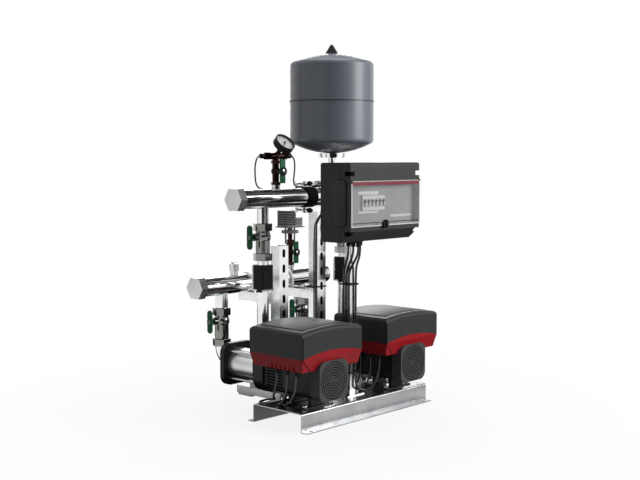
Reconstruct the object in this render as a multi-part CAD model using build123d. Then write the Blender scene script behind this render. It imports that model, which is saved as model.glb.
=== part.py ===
from build123d import *
import os
from math import asin, cos, degrees, radians, sin, sqrt, tan

# Booster pump set: two horizontal pumps side by side on a steel base, a suction and a
# discharge manifold behind them, a diaphragm tank on top and a switch panel on a post.
# X runs along the base, Y runs back along the pump shafts, Z is up.
# The origin is the middle of the base plate, on the floor. Sizes are in millimetres.

# Gaps between pieces
seat_gap = 0.3
running_gap = 0.05

# Base plate: an upside-down channel of folded sheet with two floor flanges
base_length = 600
base_width = 207
base_height = 57
base_sheet = 3
flange_width = 23
anchor_radius = 5.5
anchor_inset = 28

# Rear frame: two rails under the pumps and a crossbar under the rails
rail_width = 60
rail_height = 23
rail_sheet = 3
rail_front = 64
rail_rear = 262
crossbar_width = 60
crossbar_thickness = 6

# Pumps
pump_pitch = 383
shaft_height = 90
shaft_radius = 9.5
cover_width = 127
cover_height = 121
cover_corner = 26
cover_wall = 2.5
cover_front = -134.4
cover_depth = 38
grille_radii = (8, 15.9, 23.8, 31.7, 39.6, 47.5, 55.4)
grille_slot = 4.4
grille_bar = 2.6
grille_slots = (6, 10, 14, 20, 24, 28, 34)
motor_front = -112
motor_rear = 105
motor_bore = 47
motor_wall = 12
fin_start = 22
fin_depth = 9
fin_pitch = 9
fin_gap = 5
foot_thickness = 5
foot_width = 122
foot_length = 26
foot_centres = (-62, 8)
stator_wall = 16
rotor_length = 96
air_gap = 0.5
bearing_radius = 17.5
bearing_width = 11
fan_radius = 50
fan_blades = 7
head_corner = 45
head_length = 45
sleeve_radius = 50
sleeve_wall = 2
sleeve_length = 132
port_radius = 27
inlet_width = 136
inlet_corner = 32
inlet_thickness = 18
inlet_boss_radius = 29
inlet_boss_length = 20
rod_circle = 62
rod_radius = 4
impeller_radius = 41
impeller_pitch = 35
impeller_vanes = 6

# Drive boxes on the motors: a lower part that straddles the motor and a lid
box_width = 263
box_front = -130
box_length = 224
box_bottom = 184
box_split = 224
box_top = 301
box_crown = 11
box_top_round = 12
box_draft = 9
box_wall = 3
box_groove_width = 3
box_groove_depth = 1.5
box_arch = 16
box_deck_gap = 6
box_shelf = 24
gland_inset = 12
gland_radius = 8
gland_length = 16
pump_gland_y = (-84, -47, -4)

# Pipework
manifold_radius = 30.15
manifold_wall = 3
groove_land = 15.9
groove_width = 8.7
groove_depth = 1.6
suction_y = 367
suction_z = 392
suction_end = 308
discharge_y = 170.6
discharge_z = 683
discharge_end = 318
suction_pipe_radius = 21.2
riser_radius = 19
branch_wall = 2.6
elbow_radius = 45
cap_flats = 68
cap_length = 28
plug_x = -135
plug_radius = 16.5
plug_height = 38
nut_thickness = 24
nut_flats = 54
suction_ball_z = 276
suction_union_z = 193
discharge_ball_z = 563
discharge_union_z = 500
ball_radius = 15
ball_bore = 10
valve_radius = 23
valve_bulge = 26
valve_top = 19
stem_radius = 4
lever_length = 76
lever_width = 22
lever_thickness = 5
suction_lever_offset = 51
discharge_lever_offset = 56
check_bottom = 392
check_height = 82
check_width = 48
check_bore = 17
check_disc_radius = 14.5
check_lift = 8
strap_thickness = 3

# Columns of slotted channel, and the brackets that hold the manifolds
strut_size = 41
strut_wall = 2.5
strut_lip = 9
column_y = 205
short_column_x = -62.5
short_column_top = 524
tall_column_x = 118.5
tall_column_top = 727
short_slot_start = 25
tall_slot_start = 50
slot_length = 28
slot_width = 13
slot_pitch = 50
column_foot = 80
column_foot_thickness = 5
arm_height = 30
arm_overhang = 36
clamp_x = 10
clamp_width = 40
clamp_band = 2.5
clamp_ear = 22
bracket_height = 104
bolt_radius = 4

# Gauge branch on the discharge manifold
gauge_x = -133
gauge_stem_radius = 11
gauge_valve_z = 769
tee_z = 817
tee_arm = 28
sender_length = 38
gauge_tilt = 45
gauge_reach = 64
gauge_radius = 34
gauge_depth = 24
gauge_recess = 8.5
gauge_bezel = 2.2
gauge_lens = 2
needle_length = 24

# Pressure switch branch on the suction manifold
switch_x = 131
switch_stem_radius = 10
switch_valve_z = 482
switch_flange_z = 548
switch_flange_radius = 30
switch_plate = (84, 60, 4)
switch_body = (48, 44, 56)
switch_block = (34, 40, 30)

# Diaphragm tank
tank_x = 131
tank_radius = 140
tank_wall = 2
tank_bottom = 826
tank_lower_height = 172
tank_upper_height = 158
tank_lower_dome = 46
tank_upper_dome = 40
tank_knuckle = 15
tank_flange_radius = 47
tank_flange = 11
tank_stem_radius = 12.5
air_cap_radius = 21
air_cap_height = 30

# Switch panel on its post
panel_left = -156
panel_right = 174
panel_rear = -46
panel_seam = -126
panel_front = -167
panel_bottom = 557
panel_top = 797
panel_slope = 34
panel_slope_depth = 40
panel_wall = 3
panel_corner = 8
notch_width = 19
notch_depth = 24
notch_height = 14
notch_levels = (577, 757)
bay_bottom = 606
bay_top = 740
bay_side = 5
bay_depth = 19
window_thickness = 2.5
window_gap = 1.2
hinge_radius = 1.6
lug_width = 5
lug_reach = 3.5
lug_height = 7
latch_x = 0
latch_z = 610
latch_radius = 13
catch_width = 6
catch_reach = 13
catch_thickness = 2.5
breaker_left = -86
breaker_width = 17.4
breaker_count = 6
breaker_height = 80
breaker_nose = 45
breaker_proud = 6
toggle_z = 675
toggle_radius = 4.5
toggle_length = 13
post_size = 25
post_wall = 2
post_rear = -15
post_top = 770
post_foot = (80, 56, 4)
panel_gland_y = (-102, -82, -62)
panel_gland_x = -46
power_gland_x = 10

# Cables
cable_radius = 3.5
lead_radius = 2.5
post_tie_z = (130, 411)
column_tie_z = 372

# Worked-out places
pump_places = (-pump_pitch / 2, pump_pitch / 2)
shaft_z = base_height + shaft_height
flange_y = base_width / 2 + flange_width
motor_width = cover_width - 2 * cover_wall - 2 * seat_gap
motor_height = cover_height - 2 * cover_wall - 2 * seat_gap
deck_low = shaft_z + cover_height / 2 + seat_gap
head_front = motor_rear
head_rear = head_front + head_length
head_width = 2 * (shaft_height - rail_height - seat_gap)
sleeve_rear = head_rear + sleeve_length
inlet_rear = sleeve_rear + inlet_thickness
elbow_start = inlet_rear + inlet_boss_length
tank_seam = tank_bottom + tank_lower_height
tank_top = tank_seam + tank_upper_height
tank_lower_shoulder = tank_bottom + tank_lower_dome
tank_upper_shoulder = tank_top - tank_upper_dome
air_cap_top = tank_top + air_cap_height
box_rear = box_front + box_length
box_middle = (box_front + box_rear) / 2
column_rear = column_y + strut_size
column_middle = column_y + strut_size / 2
crossbar_front = column_middle - crossbar_width / 2
post_middle = post_rear - post_size / 2
post_front = post_rear - post_size


def block(x0, x1, y0, y1, z0, z1):
    """A box between two corners."""
    middle = Pos((x0 + x1) / 2, (y0 + y1) / 2, (z0 + z1) / 2)
    return middle * Box(x1 - x0, y1 - y0, z1 - z0)


def prism_x(outline, x0, x1, y, z):
    """An outline drawn in Y and Z about (y, z), run along X."""
    place = Plane(origin=(x0, y, z), x_dir=(0, 1, 0), z_dir=(1, 0, 0))
    return extrude(place * outline, x1 - x0)


def prism_y(outline, y0, y1, x, z):
    """An outline drawn in X and Z about (x, z), run along Y."""
    place = Plane(origin=(x, y1, z), x_dir=(1, 0, 0), z_dir=(0, -1, 0))
    return extrude(place * outline, y1 - y0)


def prism_z(outline, z0, z1, x, y):
    """An outline drawn in X and Y about (x, y), run along Z."""
    return extrude(Pos(x, y, z0) * outline, z1 - z0)


def rod_x(radius, x0, x1, y, z):
    return prism_x(Circle(radius), x0, x1, y, z)


def rod_y(radius, y0, y1, x, z):
    return prism_y(Circle(radius), y0, y1, x, z)


def rod_z(radius, z0, z1, x, y):
    return prism_z(Circle(radius), z0, z1, x, y)


def hexagon(flats):
    """A hexagon, measured across its flats."""
    return RegularPolygon(flats / 2, 6, major_radius=False)


def bolt_z(radius, z0, z1, x, y):
    """A hexagon bolt whose head stands on z1 and whose shank reaches down to z0."""
    head = prism_z(hexagon(3.4 * radius), z1, z1 + 1.3 * radius, x, y)
    return head + rod_z(radius, z0, z1, x, y)


def bolt_y(radius, y0, y1, x, z):
    """A hexagon bolt whose head stands on y0 and whose shank reaches back to y1."""
    head = prism_y(hexagon(3.4 * radius), y0 - 1.3 * radius, y0, x, z)
    return head + rod_y(radius, y0, y1, x, z)


def make_base_plate():
    outer = Rectangle(base_width, base_height)
    outer = fillet(outer.vertices().group_by(Axis.Y)[-1], 2 * base_sheet)
    inner = Pos(0, -base_sheet) * Rectangle(base_width - 2 * base_sheet, base_height)
    inner = fillet(inner.vertices().group_by(Axis.Y)[-1], base_sheet)
    flanges = Pos(0, (base_sheet - base_height) / 2) * Rectangle(2 * flange_y, base_sheet)
    profile = outer + flanges - inner
    plate = prism_x(profile, -base_length / 2, base_length / 2, 0, base_height / 2)
    for x in (anchor_inset - base_length / 2, base_length / 2 - anchor_inset):
        for side in (-1, 1):
            y = side * (base_width + flange_width) / 2
            plate -= rod_z(anchor_radius, -1, base_sheet + 1, x, y)
    for x, y in foot_bolt_places():
        plate -= rod_z(bolt_radius + seat_gap, base_height - 2 * base_sheet, base_height + 1, x, y)
    return plate


def foot_bolt_places():
    """Bolts down through the base top: motor feet, rails and the foot of the post."""
    places = []
    for pump_x in pump_places:
        for y in foot_centres:
            for side in (-1, 1):
                places.append((pump_x + side * (foot_width / 2 - 8), y))
        places.append((pump_x - rail_width / 4, rail_front + 18))
        places.append((pump_x + rail_width / 4, rail_front + 18))
    for side in (-1, 1):
        places.append((side * (post_foot[0] / 2 - 10), post_middle))
    return places


def make_foot_bolts():
    bolts = []
    low = base_height - base_sheet - 6
    for x, y in foot_bolt_places():
        top = base_height + foot_thickness
        if y > foot_centres[-1] + foot_length:
            top = base_height + rail_sheet
        if y == post_middle:
            top = base_height + post_foot[2]
        bolts.append(bolt_z(bolt_radius, low, top, x, y))
    return bolts


def make_rear_frame():
    """Two rails, open upwards, with a crossbar welded under their rear ends."""
    frame = []
    for pump_x in pump_places:
        rail = block(pump_x - rail_width / 2, pump_x + rail_width / 2, rail_front, rail_rear,
                     base_height, base_height + rail_height)
        rail -= block(pump_x - rail_width / 2 + rail_sheet, pump_x + rail_width / 2 - rail_sheet,
                      rail_front - 1, rail_rear + 1, base_height + rail_sheet, base_height + rail_height + 1)
        for side in (-1, 1):
            rail -= rod_z(bolt_radius + seat_gap, base_height - 1, base_height + rail_sheet + 1,
                          pump_x + side * rail_width / 4, rail_front + 18)
        frame.append(rail)
    half = pump_pitch / 2 + rail_width / 2
    bar = block(-half, half, crossbar_front, crossbar_front + crossbar_width,
                base_height - crossbar_thickness, base_height)
    for x in (short_column_x, tall_column_x):
        hole = strut_size / 2 + seat_gap
        bar -= block(x - hole, x + hole, column_y - seat_gap, column_rear + seat_gap,
                     base_height - crossbar_thickness - 1, base_height + 1)
    return frame[0] + frame[1] + bar


def make_column(x, top, slot_start):
    """Slotted channel on a welded foot plate: the slotted web faces forwards."""
    foot = column_foot_thickness
    column = block(x - strut_size / 2, x + strut_size / 2, column_y, column_rear, foot, top)
    column -= block(x - strut_size / 2 + strut_wall, x + strut_size / 2 - strut_wall,
                    column_y + strut_wall, column_rear - strut_wall, foot, top + 1)
    column -= block(x - strut_size / 2 + strut_lip, x + strut_size / 2 - strut_lip,
                    column_rear - 2 * strut_wall, column_rear + 1, foot, top + 1)
    column += block(x - column_foot / 2, x + column_foot / 2, column_middle - column_foot / 2,
                    column_middle + column_foot / 2, 0, foot)
    z = top - slot_start
    slots = []
    while z > base_height + slot_pitch:
        slots.append(prism_y(SlotOverall(slot_length, slot_width, rotation=90),
                             column_y - 1, column_y + 2 * strut_wall, x, z))
        z -= slot_pitch
    return column - slots


def motor_outline(grow=0.0):
    return RectangleRounded(motor_width + 2 * grow, motor_height + 2 * grow,
                            cover_corner - cover_wall + grow)


def make_motor(x):
    """Housing with side fins, an open bore for the stator and feet on the base."""
    body = prism_y(motor_outline(), motor_front, motor_rear, x, shaft_z)
    fins = []
    rows = int(motor_height / fin_pitch / 2) - 1
    for row in range(-rows, rows + 1):
        z = shaft_z + row * fin_pitch
        for side in (-1, 1):
            middle = x + side * motor_width / 2
            fins.append(block(middle - fin_depth, middle + fin_depth, fin_start,
                              motor_rear - 12, z - fin_gap / 2, z + fin_gap / 2))
    body -= fins
    body += block(x - 34, x + 34, motor_front + 40, fin_start + 20, shaft_z, deck_low)
    bore = rod_y(motor_bore, motor_front + motor_wall, motor_rear - motor_wall, x, shaft_z)
    shaft_hole = rod_y(bearing_radius + seat_gap, motor_front - 1, motor_rear + 1, x, shaft_z)
    body -= [bore, shaft_hole]
    for y in foot_centres:
        foot = block(x - foot_width / 2, x + foot_width / 2, y - foot_length / 2,
                     y + foot_length / 2, base_height, base_height + foot_thickness)
        web = block(x - foot_width / 4, x + foot_width / 4, y - 6, y + 6,
                    base_height, shaft_z - motor_height / 2 + 3)
        body += [foot, web]
        for side in (-1, 1):
            body -= rod_z(bolt_radius + seat_gap, base_height - 1, base_height + foot_thickness + 1,
                          x + side * (foot_width / 2 - 8), y)
    return body


def make_stator(x):
    outer = motor_bore - seat_gap
    return (rod_y(outer, -rotor_length / 2, rotor_length / 2, x, shaft_z)
            - rod_y(outer - stator_wall, -rotor_length / 2, rotor_length / 2, x, shaft_z))


def make_fan_cover(x):
    """Rear cowl of the motor, with rings of slots in its face."""
    outline = RectangleRounded(cover_width, cover_height, cover_corner)
    cowl = prism_y(outline, cover_front, cover_front + cover_depth, x, shaft_z)
    inside = motor_outline(seat_gap)
    cowl -= prism_y(inside, cover_front + cover_wall, cover_front + cover_depth + 1, x, shaft_z)
    for index, (radius, count) in enumerate(zip(grille_radii, grille_slots)):
        ring = Circle(radius + grille_slot / 2) - Circle(radius - grille_slot / 2)
        for turn in range(count):
            angle = (turn + 0.5 * (index % 2)) * 360 / count
            ring -= Rot(0, 0, angle) * Pos(radius, 0) * Rectangle(2 * grille_slot, grille_bar)
        cowl -= prism_y(ring, cover_front - 1, cover_front + cover_wall + 1, x, shaft_z)
    return cowl


def make_fan(x):
    y = cover_front + cover_wall + 5
    fan = rod_y(fan_radius, y + 9, y + 11, x, shaft_z)
    fan += rod_y(shaft_radius + 5, y, y + 13, x, shaft_z)
    for turn in range(fan_blades):
        blade = Pos(x, y + 5, shaft_z) * Rot(0, turn * 360 / fan_blades, 0)
        fan += blade * Pos(fan_radius / 2 + 5, 0, 0) * Box(fan_radius - 10, 10, 2.5)
    return fan - rod_y(shaft_radius + seat_gap, y - 1, y + 14, x, shaft_z)


def make_shaft(x):
    """Shaft with the motor's rotor core and the pump's impellers on it."""
    shaft = rod_y(shaft_radius, cover_front + cover_wall + 4, sleeve_rear - 20, x, shaft_z)
    core_radius = motor_bore - seat_gap - stator_wall - air_gap
    core = (rod_y(core_radius, -rotor_length / 2, rotor_length / 2, x, shaft_z)
            - rod_y(shaft_radius + seat_gap, -rotor_length, rotor_length, x, shaft_z))
    pieces = [shaft, core]
    for stage in range(3):
        y = head_rear + 22 + stage * impeller_pitch
        wheel = rod_y(impeller_radius, y, y + 2.5, x, shaft_z)
        wheel += rod_y(impeller_radius, y + 10, y + 12, x, shaft_z) - rod_y(20, y, y + 13, x, shaft_z)
        wheel += rod_y(shaft_radius + 5, y, y + 12, x, shaft_z)
        for turn in range(impeller_vanes):
            vane = Pos(x, y + 6, shaft_z) * Rot(0, turn * 360 / impeller_vanes, 0)
            wheel += vane * Pos(28, 0, 0) * Rot(0, 25, 0) * Box(22, 9, 2)
        wheel -= rod_y(shaft_radius + seat_gap, y - 1, y + 13, x, shaft_z)
        pieces.append(wheel)
    return pieces


def make_bearings():
    """Two ball bearings and a shaft seal for each pump."""
    rings = []
    for x in pump_places:
        for y in (motor_front + 0.5, motor_rear - motor_wall + 0.5):
            rings.append(rod_y(bearing_radius, y, y + bearing_width, x, shaft_z)
                         - rod_y(shaft_radius + running_gap, y - 1, y + bearing_width + 1, x, shaft_z))
        seal = head_rear - 14
        rings.append(rod_y(bearing_radius, seal, seal + 12, x, shaft_z)
                     - rod_y(shaft_radius + running_gap, seal - 1, seal + 13, x, shaft_z))
    return rings


def make_pump_head(x):
    """Discharge casting between motor and sleeve, with the port on top."""
    head = prism_y(RectangleRounded(head_width, head_width, head_corner),
                   head_front, head_rear, x, shaft_z)
    saddle = shaft_z + sleeve_radius + seat_gap
    top = saddle + 14
    head += block(x - port_radius, x + port_radius, head_rear - 10, discharge_y + port_radius, saddle, top)
    head += rod_z(port_radius, saddle, top + 12, x, discharge_y)
    head -= rod_z(riser_radius + seat_gap, top, top + 13, x, discharge_y)
    head -= rod_z(riser_radius - branch_wall, saddle - 1, top + 1, x, discharge_y)
    return head - rod_y(bearing_radius + seat_gap, head_front - 1, head_rear + 1, x, shaft_z)


def make_sleeve(x):
    sleeve = (rod_y(sleeve_radius, head_rear, sleeve_rear, x, shaft_z)
              - rod_y(sleeve_radius - sleeve_wall, head_rear, sleeve_rear, x, shaft_z))
    port = riser_radius - branch_wall
    return sleeve - rod_z(port, shaft_z, shaft_z + 2 * sleeve_radius, x, discharge_y)


def rod_places(x):
    reach = rod_circle * cos(radians(45))
    return [(x + a * reach, shaft_z + b * reach) for a in (-1, 1) for b in (-1, 1)]


def make_inlet_cover(x):
    cover = prism_y(RectangleRounded(inlet_width, inlet_width, inlet_corner),
                    sleeve_rear, inlet_rear, x, shaft_z)
    cover += rod_y(inlet_boss_radius, inlet_rear, elbow_start, x, shaft_z)
    cover -= rod_y(suction_pipe_radius - branch_wall, sleeve_rear - 1, elbow_start + 1, x, shaft_z)
    for rod_x_place, rod_z_place in rod_places(x):
        cover -= rod_y(rod_radius + seat_gap, sleeve_rear - 1, inlet_rear + 1, rod_x_place, rod_z_place)
    return cover


def make_tie_rods():
    rods = []
    for x in pump_places:
        for rod_x_place, rod_z_place in rod_places(x):
            rod = rod_y(rod_radius, head_rear, inlet_rear + 10, rod_x_place, rod_z_place)
            rod += prism_y(hexagon(13), inlet_rear, inlet_rear + 7, rod_x_place, rod_z_place)
            rods.append(rod)
    return rods


def gland_place(x):
    """Where the row of glands under a drive box stands in X."""
    return x - box_width / 2 + box_draft + gland_inset


def box_outline(inset, draft=0.0):
    """The drive box seen from above, inset by a wall and drawn in by its draft."""
    shrink = inset + draft
    return Rectangle(box_width - 2 * shrink, box_length - 2 * shrink)


def box_form(x, inset):
    """The drive box's whole outside, or its inside when inset by the wall."""
    upper = prism_z(box_outline(inset), box_split, box_top + box_crown - inset, x, box_middle)
    half = box_width / 2
    crown_radius = (half ** 2 + box_crown ** 2) / (2 * box_crown)
    upper &= rod_y(crown_radius - inset, box_front - 9, box_rear + 9, x, box_top + box_crown - crown_radius)
    rims = upper.edges().filter_by(lambda edge: edge.bounding_box().min.Z > box_top - 2 * inset - 3)
    upper = fillet(rims, box_top_round - inset)
    lower = loft([Pos(x, box_middle, box_bottom) * box_outline(inset, box_draft),
                  Pos(x, box_middle, box_split) * box_outline(inset)], ruled=True)
    return upper + lower


def box_parting(x):
    """The space of the lower part: below the split, with an arch over the fan cowl."""
    space = block(x - box_width, x + box_width, box_front - 9, box_rear + 9, box_bottom - 9, box_split)
    half = box_width / 2
    arch_radius = (half ** 2 + box_arch ** 2) / (2 * box_arch)
    arch = rod_y(arch_radius, box_front - 9, box_middle, x, box_split + box_arch - arch_radius)
    arch &= block(x - half, x + half, box_front - 9, box_middle, box_split - 1, box_split + box_arch + 1)
    return space + arch


def box_groove(x):
    """Slanted groove across the front left corner of the drive box's lower part."""
    left = x - box_width / 2
    height = box_split - box_bottom
    skin = box_form(x, 0) - box_form(x, box_groove_depth)
    band = Pos(0, height / 2) * Rot(0, 0, -45) * Rectangle(2 * height, box_groove_width)
    return skin & prism_y(band, box_front - 9, box_front + box_draft + 2, left + height / 2, box_bottom)


def make_box_base(x):
    shell = (box_form(x, 0) & box_parting(x)) - box_form(x, box_wall)
    low = deck_low
    within = box_form(x, box_wall / 2)
    shell += within & block(x - box_width, x + box_width, box_front, box_rear, low, low + box_wall)
    left = x - box_width / 2 + box_draft
    shell += within & block(left, left + box_shelf, box_front, box_rear, box_bottom, box_bottom + box_wall)
    tunnel = motor_outline(box_deck_gap)
    lift = low - box_deck_gap - motor_height / 2 - shaft_z - seat_gap / 10
    shell -= prism_y(tunnel, box_front - 9, box_front + box_draft + 12, x, shaft_z + lift)
    shell -= prism_y(tunnel, box_rear - box_draft - 12, box_rear + 9, x, shaft_z + lift)
    for y in pump_gland_y:
        shell -= rod_z(cable_radius + 2, box_bottom - 1, box_bottom + box_wall + 1, gland_place(x), y)
    return shell - box_groove(x)


def make_box_cover(x):
    return box_form(x, 0) - box_form(x, box_wall) - box_parting(x)


def make_drive_board(x):
    """Circuit board with two blocks and a choke, on the deck of the drive box."""
    deck = deck_low + box_wall
    low = deck + 8
    board = block(x - 95, x + 95, box_middle - 75, box_middle + 75, low, low + 1.6)
    board += block(x - 70, x - 20, box_middle - 50, box_middle + 10, low, low + 30)
    board += block(x + 15, x + 75, box_middle - 40, box_middle + 40, low, low + 22)
    for a in (-1, 1):
        for b in (-1, 1):
            board += rod_z(4, deck, low, x + a * 85, box_middle + b * 65)
    return board


def pipe_z(radius, wall, z0, z1, x, y):
    return rod_z(radius, z0, z1, x, y) - rod_z(radius - wall, z0 - 1, z1 + 1, x, y)


def make_manifold(y, z, end, stubs):
    """A pipe along X with a stub for each (x, radius, reach) and a coupling groove at its open end."""
    pipe = rod_x(manifold_radius, -end + cap_length / 2, end, y, z)
    for x, radius, reach in stubs:
        pipe += rod_z(radius, z, z + reach, x, y)
    pipe -= rod_x(manifold_radius - manifold_wall, -end + cap_length / 2 - 1, end + 1, y, z)
    for x, radius, reach in stubs:
        pipe -= rod_z(radius - manifold_wall, z, z + reach + 1, x, y)
    groove_end = end - groove_land
    groove = rod_x(manifold_radius + 1, groove_end - groove_width, groove_end, y, z)
    groove -= rod_x(manifold_radius - groove_depth, groove_end - groove_width, groove_end, y, z)
    return pipe - groove


def make_suction_manifold():
    stubs = [(plug_x, plug_radius - 3, manifold_radius + 14),
             (switch_x, switch_stem_radius + 4, manifold_radius + 14)]
    pipe = make_manifold(suction_y, suction_z, suction_end, stubs)
    for x in pump_places:
        pipe -= rod_z(suction_pipe_radius - branch_wall, suction_z - 2 * manifold_radius, suction_z,
                      x, suction_y)
    return pipe


def make_discharge_manifold():
    stubs = [(gauge_x, gauge_stem_radius + 3, manifold_radius + 12),
             (tank_x, tank_stem_radius + 4, manifold_radius + 16)]
    pipe = make_manifold(discharge_y, discharge_z, discharge_end, stubs)
    for x in pump_places:
        pipe -= rod_z(riser_radius - branch_wall, discharge_z - 2 * manifold_radius, discharge_z,
                      x, discharge_y)
    return pipe


def make_cap(y, z, end):
    """Hexagon cap screwed over the left end of a manifold."""
    cap = prism_x(hexagon(cap_flats), -end, -end + cap_length, y, z)
    return cap - rod_x(manifold_radius + seat_gap, -end + 5, -end + cap_length + 1, y, z)


def make_caps():
    plug_low = suction_z + manifold_radius + 14
    plug = rod_z(plug_radius, plug_low, plug_low + plug_height - 14, plug_x, suction_y)
    plug += prism_z(Rectangle(14, 14), plug_low + plug_height - 14, plug_low + plug_height - 8,
                    plug_x, suction_y)
    return [make_cap(suction_y, suction_z, suction_end), make_cap(discharge_y, discharge_z, discharge_end),
            plug]


def make_suction_pipe(x):
    """Elbow from the inlet cover up to the union, and the tail from valve to manifold."""
    corner = (x, suction_y, shaft_z)
    path = FilletPolyline((x, elbow_start, shaft_z), corner,
                          (x, suction_y, suction_union_z + nut_thickness), radius=elbow_radius)
    ring = Circle(suction_pipe_radius) - Circle(suction_pipe_radius - branch_wall)
    elbow = sweep(Plane(origin=path @ 0, z_dir=path % 0) * ring, path=path)
    tail = pipe_z(suction_pipe_radius, branch_wall, suction_ball_z + valve_top, suction_z, x, suction_y)
    tail -= rod_x(manifold_radius + seat_gap, x - 50, x + 50, suction_y, suction_z)
    return [elbow, tail]


def make_riser(x):
    """Discharge pipe: port to check valve, check valve to union, valve to manifold."""
    port_top = shaft_z + sleeve_radius + seat_gap + 14
    lower = pipe_z(riser_radius, branch_wall, port_top, check_bottom, x, discharge_y)
    middle = pipe_z(riser_radius, branch_wall, check_bottom + check_height,
                    discharge_union_z + nut_thickness / 2, x, discharge_y)
    upper = pipe_z(riser_radius, branch_wall, discharge_ball_z + valve_top, discharge_z, x, discharge_y)
    upper -= rod_x(manifold_radius + seat_gap, x - 50, x + 50, discharge_y, discharge_z)
    return [lower, middle, upper]


def make_nut(radius, z0, x, y):
    nut = prism_z(hexagon(nut_flats), z0, z0 + nut_thickness, x, y)
    nut = chamfer(nut.edges().group_by(Axis.Z)[-1], 2)
    return nut - rod_z(radius + seat_gap, z0 - 1, z0 + nut_thickness + 1, x, y)


def make_union_nuts():
    nuts = []
    for x in pump_places:
        nuts.append(make_nut(suction_pipe_radius, suction_union_z, x, suction_y))
        nuts.append(make_nut(suction_pipe_radius, suction_ball_z + valve_top, x, suction_y))
        nuts.append(make_nut(riser_radius, discharge_union_z - nut_thickness / 2, x, discharge_y))
        nuts.append(make_nut(riser_radius, discharge_ball_z + valve_top, x, discharge_y))
    return nuts


def make_valve_body(x, y, low, ball_z, side, offset):
    """Straight ball valve whose stem comes out along X."""
    body = rod_z(valve_radius, low, ball_z + valve_top, x, y)
    body += Pos(x, y, ball_z) * Sphere(valve_bulge)
    boss_end = x + side * (offset - 14)
    boss = rod_x(3 * stem_radius, min(x, boss_end), max(x, boss_end), y, ball_z)
    body += boss
    body -= block(x - 40, x + 40, y - 40, y + 40, ball_z + valve_top, ball_z + 2 * valve_bulge)
    body -= rod_z(ball_bore, low - 1, ball_z + 2 * valve_bulge, x, y)
    body -= Pos(x, y, ball_z) * Sphere(ball_radius + seat_gap)
    stem_end = x + side * offset
    return body - rod_x(stem_radius + running_gap, min(x, stem_end), max(x, stem_end), y, ball_z)


def make_lever(x, y, ball_z, side, offset):
    """Ball with its stem, and the wing lever on the stem's end."""
    ball = Pos(x, y, ball_z) * Sphere(ball_radius)
    stem_end = x + side * (offset + lever_thickness)
    ball += rod_x(stem_radius, min(x, stem_end), max(x, stem_end), y, ball_z)
    ball -= rod_z(ball_bore, ball_z - 2 * ball_radius, ball_z + 2 * ball_radius, x, y)
    near = x + side * (offset - lever_thickness)
    far = x + side * (offset + lever_thickness / 2)
    wing = SlotOverall(lever_length, lever_width, rotation=90)
    lever = prism_x(wing, min(near, far), max(near, far), y, ball_z)
    lever -= prism_x(Rectangle(lever_width + 1, lever_length), min(near, near + side * 3),
                     max(near, near + side * 3), y, ball_z)
    lever += rod_x(lever_width / 2, min(near, far), max(near, far), y, ball_z)
    hole = rod_x(stem_radius + seat_gap, x - 2 * offset, x + 2 * offset, y, ball_z)
    return [ball, lever - hole]


def suction_valve(x):
    return (x, suction_y, suction_ball_z, -1, suction_lever_offset)


def discharge_valve(x):
    """The right pump's lever points away from the tall column."""
    side = -1 if x < 0 else 1
    return (x, discharge_y, discharge_ball_z, side, discharge_lever_offset)


def make_valve_bodies():
    bodies = []
    for x in pump_places:
        pipe_x, y, ball_z, side, offset = suction_valve(x)
        bodies.append(make_valve_body(pipe_x, y, suction_union_z + nut_thickness, ball_z, side, offset))
        pipe_x, y, ball_z, side, offset = discharge_valve(x)
        bodies.append(make_valve_body(pipe_x, y, discharge_union_z + nut_thickness / 2, ball_z, side, offset))
    return bodies


def make_check_body(x):
    """Check valve in a square block, hollow for its disc."""
    half = check_width / 2
    body = prism_z(RectangleRounded(check_width, check_width, 5), check_bottom,
                   check_bottom + check_height, x, discharge_y)
    body -= rod_z(riser_radius - branch_wall - 4, check_bottom - 1, check_bottom + check_height + 1,
                  x, discharge_y)
    body -= rod_z(check_bore, check_bottom + 20, check_bottom + check_height - 16, x, discharge_y)
    guide_top = check_bottom + check_height - 16
    body += block(x - 7, x + 7, discharge_y - half + 5, discharge_y + half - 5, guide_top - 4, guide_top)
    return body - rod_z(4 + running_gap, guide_top - 5, guide_top + 1, x, discharge_y)


def make_check_disc(x):
    """Spring-loaded disc of the check valve, closed on its seat."""
    seat = check_bottom + 20 + seat_gap
    disc = rod_z(check_disc_radius, seat, seat + 4, x, discharge_y)
    return disc + rod_z(4, seat, seat + 50, x, discharge_y)


def make_check_straps():
    """Steel strap down the side of each check valve and under it."""
    straps = []
    for x in pump_places:
        left = x - check_width / 2
        front = discharge_y - check_width / 2
        strap = block(left - strap_thickness, left, front + 4, front + 24,
                      check_bottom - strap_thickness, check_bottom + check_height - 6)
        strap += block(left - strap_thickness, x - riser_radius - 1, front + 4, front + 24,
                       check_bottom - strap_thickness, check_bottom)
        straps.append(strap)
    return straps


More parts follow.
